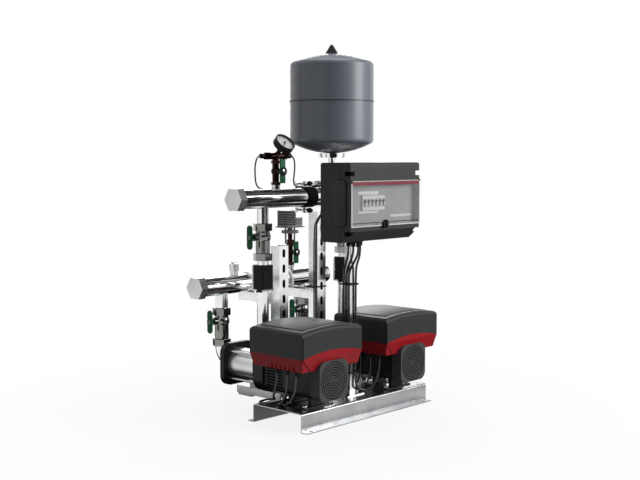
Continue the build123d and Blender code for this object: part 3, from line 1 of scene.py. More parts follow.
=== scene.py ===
"""Booster pump set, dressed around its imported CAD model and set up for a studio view."""

import logging
import math
from dataclasses import dataclass, field
from enum import Enum
from functools import cache, partial
from typing import Callable, Iterable, Optional, Union

import bmesh
import bpy
from mathutils import Matrix, Vector


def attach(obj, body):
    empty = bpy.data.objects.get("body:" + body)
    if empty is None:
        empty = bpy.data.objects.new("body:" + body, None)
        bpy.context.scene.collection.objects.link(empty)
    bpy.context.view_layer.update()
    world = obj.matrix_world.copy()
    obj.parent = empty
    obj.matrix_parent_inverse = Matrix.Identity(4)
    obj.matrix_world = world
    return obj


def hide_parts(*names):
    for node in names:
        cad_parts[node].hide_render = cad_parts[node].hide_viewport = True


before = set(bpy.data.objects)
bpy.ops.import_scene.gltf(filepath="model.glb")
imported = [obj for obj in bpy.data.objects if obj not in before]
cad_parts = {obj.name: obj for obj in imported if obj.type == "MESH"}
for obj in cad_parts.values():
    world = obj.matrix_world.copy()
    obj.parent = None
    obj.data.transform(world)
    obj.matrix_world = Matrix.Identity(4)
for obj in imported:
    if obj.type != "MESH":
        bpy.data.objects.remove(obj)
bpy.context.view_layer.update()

LOG = logging.getLogger("pump_set")
MM = 0.001
Pair = tuple[float, float]
Pairs = tuple[Pair, ...]
Point = tuple[float, float, float]
Verts = list[bmesh.types.BMVert]

# Where most of a noise's values lie, as inputs 1 and 2 of a map range node
CLOSE_NOISE = {1: 0.35, 2: 0.65}
WIDE_NOISE = {1: 0.3, 2: 0.7}
LEAST_ROUGHNESS = 0.02
# Edges over the first angle get rounded, and edges over the second are shown sharp
ROUNDED_EDGE = math.radians(40)
SHARP_EDGE = math.radians(32)
ROUNDING_STEPS = 2
MERGE_DISTANCE = 0.001
LETTER_DEPTH = 0.05


def linear(hex_colour: str) -> tuple[float, ...]:
    """Turns an sRGB hex colour into linear RGBA.

    Args:
        hex_colour: A hash and six hex digits.

    Returns:
        Linear red, green, blue and an alpha of 1.
    """
    channels = [int(hex_colour[start : start + 2], 16) / 255 for start in (1, 3, 5)]
    red, green, blue = (c / 12.92 if c <= 0.04045 else ((c + 0.055) / 1.055) ** 2.4 for c in channels)
    return red, green, blue, 1.0


def add_node(
    tree: bpy.types.NodeTree, kind: str, inputs: Optional[dict] = None, **settings
) -> bpy.types.Node:
    """Adds a shader node with its settings, values and links.

    Args:
        tree: The node tree that gets the node.
        kind: The node's type name.
        inputs: Input name or index, to a value, an output that feeds it, or a node for its first output.
        **settings: Attributes of the node itself.

    Returns:
        The new node.
    """
    node = tree.nodes.new(kind)
    for name, value in settings.items():
        setattr(node, name, value)
    for key, value in (inputs or {}).items():
        if isinstance(value, bpy.types.Node):
            value = value.outputs[0]
        if isinstance(value, bpy.types.NodeSocket):
            tree.links.new(value, node.inputs[key])
        else:
            node.inputs[key].default_value = value
    return node


def empty_material(name: str) -> tuple[bpy.types.Material, Callable]:
    """Makes a material without nodes.

    Args:
        name: The material's name.

    Returns:
        The material, and add_node for its tree.
    """
    made = bpy.data.materials.new(name)
    made.use_nodes = True
    made.node_tree.nodes.clear()
    return made, partial(add_node, made.node_tree)


class Grain(Enum):
    """Which way the marks of a surface run."""

    EVEN = (1.0, 1.0, 1.0)
    ALONG_X = (0.02, 1.0, 1.0)
    ALONG_Z = (1.0, 1.0, 0.02)
    AROUND_X = (1.0, 0.02, 0.02)
    AROUND_Y = (0.02, 1.0, 0.02)
    AROUND_Z = (0.02, 0.02, 1.0)


@dataclass(frozen=True)
class Finish:
    """A surface finish: what the real one is made of and how it was made.

    The cloud is the slow change of tone over the surface, and the mark is the fine texture that
    its making left, with the relief as its depth.
    """

    name: str
    colour: str
    shade: str
    roughness: float
    metallic: float = 0.0
    cloud_mm: float = 60.0
    mark_mm: float = 1.2
    relief_mm: float = 0.02
    mark_gloss: float = 0.06
    grain: Grain = Grain.EVEN
    coat: float = 0.0
    coat_roughness: float = 0.1
    specular: float = 0.5

    @cache
    def material(self) -> bpy.types.Material:
        """Builds the material at the first call.

        Returns:
            The material.
        """
        made, add = empty_material(self.name)
        place = add("ShaderNodeTexCoord").outputs["Object"]
        cloud = add("ShaderNodeTexNoise", {"Vector": place, "Scale": 1 / (self.cloud_mm * MM), "Detail": 3.0})
        turned = add("ShaderNodeMapping", {"Vector": place, "Scale": self.grain.value}, vector_type="POINT")
        mark = add(
            "ShaderNodeTexNoise",
            {"Vector": turned, "Scale": 1 / (self.mark_mm * MM), "Detail": 4.0, "Roughness": 0.6},
        )
        tone = add("ShaderNodeMapRange", {"Value": cloud, **CLOSE_NOISE})
        both = add("ShaderNodeMath", {0: tone, 1: mark}, operation="MULTIPLY")
        tones = {6: linear(self.colour), 7: linear(self.shade)}
        colour = add("ShaderNodeMix", {0: both, **tones}, data_type="RGBA")
        low = max(self.roughness - self.mark_gloss, LEAST_ROUGHNESS)
        high = self.roughness + self.mark_gloss
        gloss = add("ShaderNodeMapRange", {"Value": mark, **WIDE_NOISE, 3: low, 4: high})
        relief = add("ShaderNodeBump", {"Height": mark, "Strength": 1.0, "Distance": self.relief_mm * MM})
        shader = add("ShaderNodeBsdfPrincipled", {
            "Base Color": colour.outputs[2], "Roughness": gloss, "Normal": relief,
            "Metallic": self.metallic, "Specular IOR Level": self.specular,
            "Coat Weight": self.coat, "Coat Roughness": self.coat_roughness,
        })
        add("ShaderNodeOutputMaterial", {"Surface": shader})
        return made


# ABS from a spark-eroded mould: an even, dull grain
BLACK_ABS = Finish("ABS_spark_eroded_black", "#161617", "#0e0e0f", 0.5, mark_mm=1.0, specular=0.15)
# Moulded polyamide cowls: mid grey with a soft sheen
COWL_PA = Finish("polyamide_moulded_cowl", "#525353", "#464747", 0.46, specular=0.2)
# Fan in its cowl: black made darker still with painted shade, and no sheen, so the grille's openings stay
# dark
FAN_PA = Finish("polyamide_moulded_fan", "#060606", "#040404", 0.6, specular=0.05)
# Drive box lids: a deeper grain that breaks up the reflections
LID_ABS = Finish(
    "ABS_spark_eroded_grey", "#393a3b", "#323334", 0.48, mark_mm=1.0, relief_mm=0.03, specular=0.2
)
# Drive boxes' lower parts: an even, soft red
RED_ABS = Finish("ABS_spark_eroded_red", "#ae1b24", "#99151e", 0.42, mark_mm=1.0, specular=0.2)
# Switch panel: warm dark grey with a soft sheen
PANEL_ABS = Finish("ABS_moulded_panel_grey", "#393937", "#30302f", 0.44, specular=0.2)
# Lining of the panel's bay: light grey behind the clear flap
FASCIA = Finish("ABS_moulded_light_grey", "#a9a8a7", "#9b9a99", 0.42, cloud_mm=90, specular=0.3)
# Polished edges of the clear flap, painted white as the highlight they gather
EDGE_HIGHLIGHT_WHITE = Finish("polycarbonate_edge_painted_highlight", "#eeeeec", "#e4e4e2", 0.3, specular=0.4)
# Printed film on the flap: dark red
TRIM_RED = Finish("polyester_film_printed_red", "#8a2138", "#7e1b30", 0.35, specular=0.3)
# Breakers and bare labels: the whitest behind the flap
WHITE_PA = Finish("polyamide_moulded_white", "#f6f5f2", "#edece8", 0.4, mark_mm=0.8)
# Rubber seal pressed into a joint: dull black line. The same black also serves as painted shade in gaps,
# grooves, a seam and the channels' backs
SEAL_AND_SHADE = Finish("rubber_seal_and_painted_shade_black", "#0a0a0a", "#060606", 0.7, mark_mm=1.4, specular=0.1)
# Cold-rolled stainless sheet, linished along the fold
SHEET = Finish(
    "stainless_sheet_linished", "#b4b5b6", "#98999b", 0.3, 1.0, mark_mm=0.9, relief_mm=0.004,
    grain=Grain.ALONG_X, mark_gloss=0.08,
)
# Zinc-plated slotted channel: bright, slightly clouded
ZINC_STRUT = Finish(
    "zinc_plated_channel", "#f1f2f3", "#dcdee0", 0.2, 1.0, cloud_mm=25, mark_mm=0.8, relief_mm=0.004,
    grain=Grain.ALONG_Z,
)
# Polished square tube: fine upright lines in a near mirror
POST_TUBE = Finish(
    "stainless_square_tube", "#e6e7e8", "#d2d3d5", 0.16, 1.0, mark_mm=0.7, relief_mm=0.003,
    grain=Grain.ALONG_Z,
)
# Stainless pipe, drawn and polished: fine rings left by the belt
PIPE_X = Finish(
    "stainless_pipe_polished", "#dcdddd", "#c8c9ca", 0.13, 1.0, mark_mm=0.8, relief_mm=0.003,
    grain=Grain.AROUND_X, mark_gloss=0.04,
)
# The same polish round the upright branches
PIPE_Z = Finish(
    "stainless_branch_polished", "#eeefef", "#dadbdc", 0.12, 1.0, mark_mm=0.8, relief_mm=0.003,
    grain=Grain.AROUND_Z, mark_gloss=0.04,
)
# Deep-drawn stainless sleeve, satin
SLEEVE = Finish(
    "stainless_sleeve_satin", "#d9dadb", "#c8c9cb", 0.34, 1.0, mark_mm=0.7, relief_mm=0.004,
    grain=Grain.AROUND_Y,
)
# Turned steel inside: fine tool marks
STEEL = Finish("steel_machined", "#b9babc", "#9c9da0", 0.28, 1.0, mark_mm=0.6, relief_mm=0.004)
# Zinc-plated bolts, rods and bands: bright, with a slight haze
FASTENER = Finish("steel_bolt_zinc_plated", "#c4c5c7", "#a4a5a8", 0.25, 1.0, mark_mm=1.0, relief_mm=0.008)
# Weld bead left bright by pickling: small overlapping ripples
WELD = Finish("stainless_weld_bead", "#a9a9aa", "#858587", 0.34, 1.0, mark_mm=1.6, relief_mm=0.12)
# Brass with nickel on it: a faint warm cast in a bright metal, here painted darker as a shaded copy of the
# plating
NICKEL = Finish("brass_nickel_plated", "#8b8987", "#696765", 0.15, 1.0, mark_mm=1.4, relief_mm=0.01)
# The same plating painted lighter, as a lit copy, and hazier, so that each flat of a cap has one tone
CAP_NICKEL = Finish(
    "brass_nickel_plated_painted_light", "#dad9d7", "#cbcac8", 0.24, 1.0, mark_mm=1.4, relief_mm=0.01
)
# Turned brass, near-black brown: dark, with a narrow highlight
BRONZE = Finish("brass_turned_dark_brown", "#2c1e19", "#1b1310", 0.2, 1.0, mark_mm=0.6, relief_mm=0.006)
# Grey iron and aluminium castings under black paint: sand grain shows through
CASTING = Finish(
    "cast_iron_painted_black", "#141415", "#0b0b0c", 0.42, mark_mm=2.2, relief_mm=0.08, coat=0.05,
    specular=0.2,
)
# Oven enamel on drawn steel: soft orange peel under a glossy skin
TANK_ENAMEL = Finish(
    "steel_enamel_blue_grey", "#7b808a", "#727781", 0.42, cloud_mm=120, mark_mm=2.5, relief_mm=0.012,
    coat=0.3, coat_roughness=0.22, specular=0.35,
)
# Vinyl dip on pressed levers: full green, slightly wavy
LEVER_VINYL = Finish(
    "vinyl_dipped_green", "#0a6b40", "#085432", 0.4, mark_mm=1.5, relief_mm=0.03, specular=0.2
)
# Extruded cable sheath: smooth, with a long soft highlight
RUBBER = Finish("rubber_sheath_black", "#161617", "#101011", 0.24, mark_mm=1.6, relief_mm=0.01, specular=0.6)
# Enamelled dial: plain white under a thin gloss
DIAL = Finish("aluminium_dial_white_enamel", "#f8f8f6", "#f2f2ef", 0.34, mark_mm=0.8, coat=0.6)
# Screen ink, and the breakers' toggles: flat black
INK = Finish("screen_ink_black", "#101010", "#0b0b0b", 0.5, specular=0.2)
# Circuit boards inside the drives: green under clear lacquer
BOARD = Finish("fibreglass_board_green", "#1c5a3a", "#12402a", 0.35, cloud_mm=6, coat=0.4)
# Pressure switch: light grey, dull
GREY_PA = Finish("polyamide_moulded_grey", "#a3a4a6", "#939496", 0.42, mark_mm=1.0, specular=0.3)


@dataclass(frozen=True)
class ClearFinish:
    """Thin clear plastic: light goes straight through, and the skin mirrors more at a slant.

    The haze is the share of light that faint flow marks from the mould turn to milk.
    """

    name: str
    tint: str
    roughness: float
    haze: float
    haze_low: float = 0.6
    flow_mm: float = 40.0
    refraction: float = 1.5

    @cache
    def material(self) -> bpy.types.Material:
        """Builds the material at the first call.

        Returns:
            The material.
        """
        made, add = empty_material(self.name)
        place = add("ShaderNodeTexCoord").outputs["Object"]
        flow = add("ShaderNodeTexNoise", {"Vector": place, "Scale": 1 / (self.flow_mm * MM), "Detail": 1.0})
        clearest = self.haze * self.haze_low
        haze = add("ShaderNodeMapRange", {"Value": flow, **WIDE_NOISE, 3: clearest, 4: self.haze})
        through = add("ShaderNodeBsdfTransparent", {"Color": linear(self.tint)})
        milk = add("ShaderNodeBsdfDiffuse", {"Color": linear("#f4f6f7")})
        body = add("ShaderNodeMixShader", {0: haze, 1: through, 2: milk})
        skin = add("ShaderNodeBsdfGlossy", {"Color": (1, 1, 1, 1), "Roughness": self.roughness})
        slant = add("ShaderNodeFresnel", {"IOR": self.refraction})
        inside = add("ShaderNodeNewGeometry").outputs["Backfacing"]
        # Rays aren't bent, so the far skin of the sheet mirrors nothing
        outside = add("ShaderNodeMath", {0: 1.0, 1: inside}, operation="SUBTRACT")
        mirror = add("ShaderNodeMath", {0: slant, 1: outside}, operation="MULTIPLY")
        both = add("ShaderNodeMixShader", {0: mirror, 1: body, 2: skin})
        add("ShaderNodeOutputMaterial", {"Surface": both})
        return made


# Polycarbonate flap with a light veil, and the gauge's acrylic lens with hardly any
WINDOW_CLEAR = ClearFinish("polycarbonate_clear", "#fafbfb", 0.06, 0.09)
LENS_CLEAR = ClearFinish("acrylic_lens_clear", "#fbfbfb", 0.04, 0.01)
Surface = Union[Finish, ClearFinish]


def dress(nodes: Iterable[str], finish: Surface) -> None:
    """Gives CAD nodes a finish.

    Args:
        nodes: Names of CAD nodes.
        finish: What they are made of.
    """
    material = finish.material()
    for name in nodes:
        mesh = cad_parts[name].data
        mesh.materials.clear()
        mesh.materials.append(material)
        LOG.info("%s: %s", name, finish.name)


def link_mesh(name: str, shape: bmesh.types.BMesh) -> bpy.types.Object:
    """Turns a bmesh into a linked object at the origin.

    Args:
        name: The object's name.
        shape: The bmesh, which is freed.

    Returns:
        The new object.
    """
    mesh = bpy.data.meshes.new(name)
    shape.to_mesh(mesh)
    shape.free()
    piece = bpy.data.objects.new(name, mesh)
    bpy.context.scene.collection.objects.link(piece)
    return piece


def white_rays(add: Callable) -> bpy.types.NodeSocket:
    """Gives 1 for rays from the camera, mirrors and clear plastic, and 0 for the rest.

    Args:
        add: add_node for the tree that gets the nodes.

    Returns:
        The output that carries the value.
    """
    ray = add("ShaderNodeLightPath")
    total = ray.outputs["Is Camera Ray"]
    for kind in ("Is Glossy Ray", "Is Transmission Ray"):
        total = add("ShaderNodeMath", {0: total, 1: ray.outputs[kind]}, operation="MAXIMUM").outputs[0]
    return total


@dataclass(frozen=True)
class Lamp:
    """A soft square lamp: where it hangs, what it shines on, its side in metres and its power in watts."""

    name: str
    place: Point
    target: Point
    side: float
    power: float

    def hang(self) -> None:
        """Puts the lamp in the scene."""
        data = bpy.data.lights.new(self.name, "AREA")
        data.shape = "SQUARE"
        data.size = self.side
        data.energy = self.power
        lamp = bpy.data.objects.new(self.name, data)
        lamp.location = self.place
        lamp.rotation_euler = (Vector(self.target) - Vector(self.place)).to_track_quat("-Z", "Y").to_euler()
        bpy.context.scene.collection.objects.link(lamp)


@dataclass(frozen=True)
class Flag:
    """A plain card that only mirrors see, as a studio uses to give bright metal its dark bands and edges.

    It glows in its own shade, wherever the lamps hang.
    """

    name: str
    place: Point
    facing: Point
    width: float
    height: float
    shade: str = "#161616"

    def stand(self) -> None:
        """Puts the card in the scene."""
        shape = bmesh.new()
        bmesh.ops.create_grid(shape, x_segments=1, y_segments=1, size=0.5)
        bmesh.ops.scale(shape, vec=(self.width, self.height, 1), verts=shape.verts)
        turn = (Vector(self.facing) - Vector(self.place)).to_track_quat("Z", "Y").to_matrix()
        bmesh.ops.rotate(shape, cent=(0, 0, 0), matrix=turn, verts=shape.verts)
        bmesh.ops.translate(shape, vec=self.place, verts=shape.verts)
        card = link_mesh(self.name, shape)
        for ray in ("camera", "diffuse", "transmission", "volume_scatter", "shadow"):
            setattr(card, "visible_" + ray, False)
        glow_card, add = empty_material(self.name + "_glow_card")
        glow = add("ShaderNodeEmission", {"Color": linear(self.shade)})
        add("ShaderNodeOutputMaterial", {"Surface": glow})
        card.data.materials.append(glow_card)


@dataclass
class Studio:
    """Camera at the photograph's place, pale floor and plain soft light."""

    camera_place: Point = (-2.5619, -2.2836, 0.8205)
    camera_turn_deg: Point = (85.503, 0, -47.044)
    lens_mm: float = 60.873
    sensor_mm: float = 36.0
    floor_size: float = 40.0
    room_level: float = 0.26
    contact_level: float = 0.86
    contact_reach: Pair = (0.3, 1.3)
    lamps: tuple[Lamp, ...] = (
        Lamp("key", (2.2, -3.3, 1.9), (0, 0, 0.5), 2.0, 120),
        Lamp("rear", (2.4, 2.8, 1.8), (0, 0.1, 0.7), 1.8, 50),
        Lamp("top", (0.3, 0.3, 3.4), (0, 0, 0.3), 2.0, 30),
    )
    flags: tuple[Flag, ...] = (
        Flag("flag_behind_camera", (-2.7, -4.1, 1.2), (0, 0, 0.9), 6.2, 3.6),
        Flag("flag_right", (3.4, -0.9, 0.9), (0, 0, 0.7), 0.9, 2.6),
        Flag("flag_under_right", (1.475, 1.2, 0.0015), (1.475, 1.2, 1.0), 2.25, 2.6),
        Flag("flag_under_left", (-0.025, 1.325, 0.0015), (-0.025, 1.325, 1.0), 0.75, 2.35),
        Flag("flag_base", (0, 0, 0.0015), (0, 0, 1.0), 0.64, 0.29, "#7e7e7e"),
        Flag("flag_ahead", (1.3, -0.8, 0.0015), (1.3, -0.8, 1.0), 1.8, 1.1),
        Flag("flag_above", (1.9, 0.2, 2.4), (1.9, 0.2, 0.5), 1.6, 4.2, "#4a4a4a"),
        Flag("flag_left", (-2.03, 3.1, 0.7), (0.37, 0.55, 0.7), 1.17, 1.3, "#5c5c5c"),
    )

    def build(self) -> None:
        """Sets up the camera, the floor, the world, the lamps and the flags."""
        self.camera()
        self.floor()
        self.world()
        for lamp in self.lamps:
            lamp.hang()
        for flag in self.flags:
            flag.stand()

    def camera(self) -> None:
        """Stands the camera where the photograph was taken from."""
        data = bpy.data.cameras.new("camera")
        data.lens = self.lens_mm
        data.sensor_width = self.sensor_mm
        camera = bpy.data.objects.new("camera", data)
        camera.location = self.camera_place
        camera.rotation_euler = [math.radians(angle) for angle in self.camera_turn_deg]
        bpy.context.scene.collection.objects.link(camera)
        bpy.context.scene.camera = camera

    def floor(self) -> None:
        """Lays a floor that the camera, mirrors and clear plastic see as white, darker near the set."""
        shape = bmesh.new()
        bmesh.ops.create_grid(shape, x_segments=1, y_segments=1, size=self.floor_size / 2)
        floor = link_mesh("floor", shape)
        paint, add = empty_material("matt_paint_white")
        seen = white_rays(add)
        shades = {6: linear("#4a4a4a"), 7: linear("#f6f6f6")}
        tone = add("ShaderNodeMix", {0: seen, **shades}, data_type="RGBA")
        matt = add("ShaderNodeBsdfDiffuse", {"Color": tone.outputs[2]})
        glow = add("ShaderNodeEmission", {"Strength": 1.0})
        place = add("ShaderNodeTexCoord").outputs["Object"]
        away = add("ShaderNodeVectorMath", {0: place}, operation="LENGTH").outputs["Value"]
        near, far = self.contact_reach
        fade = add("ShaderNodeMapRange", {"Value": away, 1: near, 2: far, 3: self.contact_level, 4: 1.0})
        share = add("ShaderNodeMath", {0: seen, 1: fade}, operation="MULTIPLY")
        mixed = add("ShaderNodeMixShader", {0: share, 1: matt, 2: glow})
        add("ShaderNodeOutputMaterial", {"Surface": mixed})
        floor.data.materials.append(paint)

    def world(self) -> None:
        """Surrounds the set with white for the eye, mirrors and clear plastic, and soft grey light."""
        world = bpy.data.worlds.new("studio")
        bpy.context.scene.world = world
        world.use_nodes = True
        world.node_tree.nodes.clear()
        add = partial(add_node, world.node_tree)
        level = add("ShaderNodeMapRange", {"Value": white_rays(add), 3: self.room_level, 4: 1.0})
        glow = add("ShaderNodeBackground", {"Color": (1, 1, 1, 1), "Strength": level})
        add("ShaderNodeOutputWorld", {"Surface": glow})


@dataclass
class Form:
    """The shape of one piece, in millimetres, made with bmesh operators."""

    shape: bmesh.types.BMesh = field(default_factory=bmesh.new)

    def place(self, verts: Verts, matrix: Matrix) -> Verts:
        """Moves vertices by a matrix and returns them."""
        bmesh.ops.transform(self.shape, matrix=matrix, verts=verts)
        return verts

    def soften(self, verts: Verts, edge: float) -> None:
        """Rounds the edges that lie between the given vertices.

        Args:
            verts: Vertices of one closed form.
            edge: Width of the rounding, none when zero.
        """
        if edge <= 0:
            return
        own = set(verts)
        sharp = [e for e in self.shape.edges if e.verts[0] in own and e.verts[1] in own
                 and len(e.link_faces) == 2 and e.calc_face_angle() > ROUNDED_EDGE]
        bmesh.ops.bevel(
            self.shape, geom=sharp, offset=edge, affect="EDGES", segments=ROUNDING_STEPS, profile=0.5,
            material=-1,
        )

    def block(
        self, xs: Pair, ys: Pair, zs: Pair, edge: float = 0.0, matrix: Optional[Matrix] = None
    ) -> "Form":
        """Adds a block.

        Args:
            xs, ys, zs: Its limits along X, Y and Z.
            edge: Width of the rounding of its edges.
            matrix: Where it is moved once made.

        Returns:
            The form.
        """
        size = Vector((xs[1] - xs[0], ys[1] - ys[0], zs[1] - zs[0]))
        middle = Vector((xs[0] + xs[1], ys[0] + ys[1], zs[0] + zs[1])) / 2
        verts = bmesh.ops.create_cube(self.shape, size=1)["verts"]
        self.place(verts, (matrix or Matrix()) @ Matrix.Translation(middle) @ Matrix.Diagonal((*size, 1)))
        self.soften(verts, edge)
        return self

    def rod(
        self, radius: float, start: Point, end: Point, sides: int, edge: float = 0.0,
        matrix: Optional[Matrix] = None,
    ) -> "Form":
        """Adds a round rod, or a prism of few sides, between two points.

        Args:
            radius: Its radius, to the corners.
            start, end: The middles of its ends.
            sides: Number of sides.
            edge: Width of the rounding of its ends.
            matrix: Where it is moved once made.

        Returns:
            The form.
        """
        run = Vector(end) - Vector(start)
        turn = run.to_track_quat("Z", "Y").to_matrix().to_4x4()
        middle = Matrix.Translation((Vector(start) + Vector(end)) / 2)
        verts = bmesh.ops.create_cone(
            self.shape, cap_ends=True, segments=sides, radius1=radius, radius2=radius, depth=run.length
        )["verts"]
        self.place(verts, (matrix or Matrix()) @ middle @ turn)
        self.soften(verts, edge)
        return self

    def turned(self, outline: Iterable[Pair], matrix: Matrix, steps: int = 64) -> Verts:
        """Adds a ring, turned from a closed outline of radius and height around Z.

        Args:
            outline: Corners of the ring's section.
            matrix: Where it is moved once made.
            steps: Number of steps round.

        Returns:
            The ring's vertices.
        """
        before = set(self.shape.verts)
        corners = [self.shape.verts.new((radius, 0, height)) for radius, height in outline]
        edges = [self.shape.edges.new(pair) for pair in zip(corners, corners[1:] + corners[:1])]
        bmesh.ops.spin(
            self.shape, geom=corners + edges, cent=(0, 0, 0), axis=(0, 0, 1), angle=math.tau,
            steps=steps, use_merge=True,
        )
        verts = [vert for vert in self.shape.verts if vert not in before]
        return self.place(verts, matrix)

    def slab(self, outline: Iterable[Pair], depth: float, matrix: Matrix, edge: float = 0.0) -> "Form":
        """Adds a slab from an outline in the XY plane, with its depth along Z.

        Args:
            outline: Corners of the outline.
            depth: Thickness of the slab.
            matrix: Where it is moved once made.
            edge: Width of the rounding of its edges.

        Returns:
            The form.
        """
        corners = [self.shape.verts.new((u, v, 0)) for u, v in outline]
        face = self.shape.faces.new(corners)
        raised = bmesh.ops.extrude_face_region(self.shape, geom=[face])["geom"]
        top = [item for item in raised if isinstance(item, bmesh.types.BMVert)]
        bmesh.ops.translate(self.shape, vec=(0, 0, depth), verts=top)
        verts = self.place(corners + top, matrix)
        self.soften(verts, edge)
        return self

    def words(self, text: str, size: float, matrix: Matrix) -> "Form":
        """Adds flat lettering, centred, facing Z.

        Args:
            text: Plain numbers.
            size: Height of the lettering.
            matrix: Where it is moved once made.

        Returns:
            The form.
        """
        curve = bpy.data.curves.new("words", "FONT")
        curve.body = text
        curve.size = size
        curve.align_x = curve.align_y = "CENTER"
        curve.extrude = LETTER_DEPTH
        writer = bpy.data.objects.new("words", curve)
        mesh = bpy.data.meshes.new_from_object(writer)
        before = set(self.shape.verts)
        self.shape.from_mesh(mesh)
        self.place([vert for vert in self.shape.verts if vert not in before], matrix)
        bpy.data.objects.remove(writer)
        bpy.data.curves.remove(curve)
        bpy.data.meshes.remove(mesh)
        return self

    def piece(
        self, name: str, finish: Surface, slot: str, body: str = "frame", replaced: tuple[str, ...] = ()
    ) -> bpy.types.Object:
        """Ends the shape as a dressed object on its body.

        Args:
            name: The piece's name.
            finish: What it is made of.
            slot: The record's material slot; not used.
            body: The CAD body it rides on.
            replaced: CAD nodes that it stands for.

        Returns:
            The object.
        """
        bmesh.ops.remove_doubles(self.shape, verts=self.shape.verts, dist=MERGE_DISTANCE)
        bmesh.ops.recalc_face_normals(self.shape, faces=self.shape.faces)
        bmesh.ops.scale(self.shape, vec=(MM, MM, MM), verts=self.shape.verts)
        made = link_mesh(name, self.shape)
        for polygon in made.data.polygons:
            polygon.use_smooth = True
        made.data.set_sharp_from_angle(angle=SHARP_EDGE)
        made.data.materials.append(finish.material())
        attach(made, body)
        if replaced:
            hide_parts(*replaced)
        LOG.info("%s: %d faces on %s", name, len(made.data.polygons), body)
        return made


def at(x: float = 0, y: float = 0, z: float = 0, axis: str = "Z") -> Matrix:
    """Frame at a point, with its Z along the named axis of the set.

    Args:
        x, y, z: The point.
        axis: Z, X, -X or -Y.

    Returns:
        The matrix.
    """
    quarter = math.pi / 2
    turns = {"Z": (0, "X"), "X": (quarter, "Y"), "-X": (-quarter, "Y"), "-Y": (quarter, "X")}
    angle, about = turns[axis]
    return Matrix.Translation((x, y, z)) @ Matrix.Rotation(angle, 4, about)


PUMPS_X = (-191.5, 191.5)
SUCTION_Y, SUCTION_Z = 367, 392
DISCHARGE_Y, DISCHARGE_Z = 170.6, 683
GAUGE_X, SWITCH_X, TANK_X, STUB_X = -133, 131, 131, -135
MANIFOLD_RADIUS = 30.15
HEXAGON = 6
ROD_SIDES = 24
RING_STEPS = 40
NUT_SUNK, NUT_EDGE = 0.4, 0.4


def span(start: float, pair: Pair) -> Pair:
    """Gives two limits from their distances to a place."""
    return start + pair[0], start + pair[1]


def around(middle: float, half: float) -> Pair:
    """Gives the two limits at a distance round a place."""
    return middle - half, middle + half


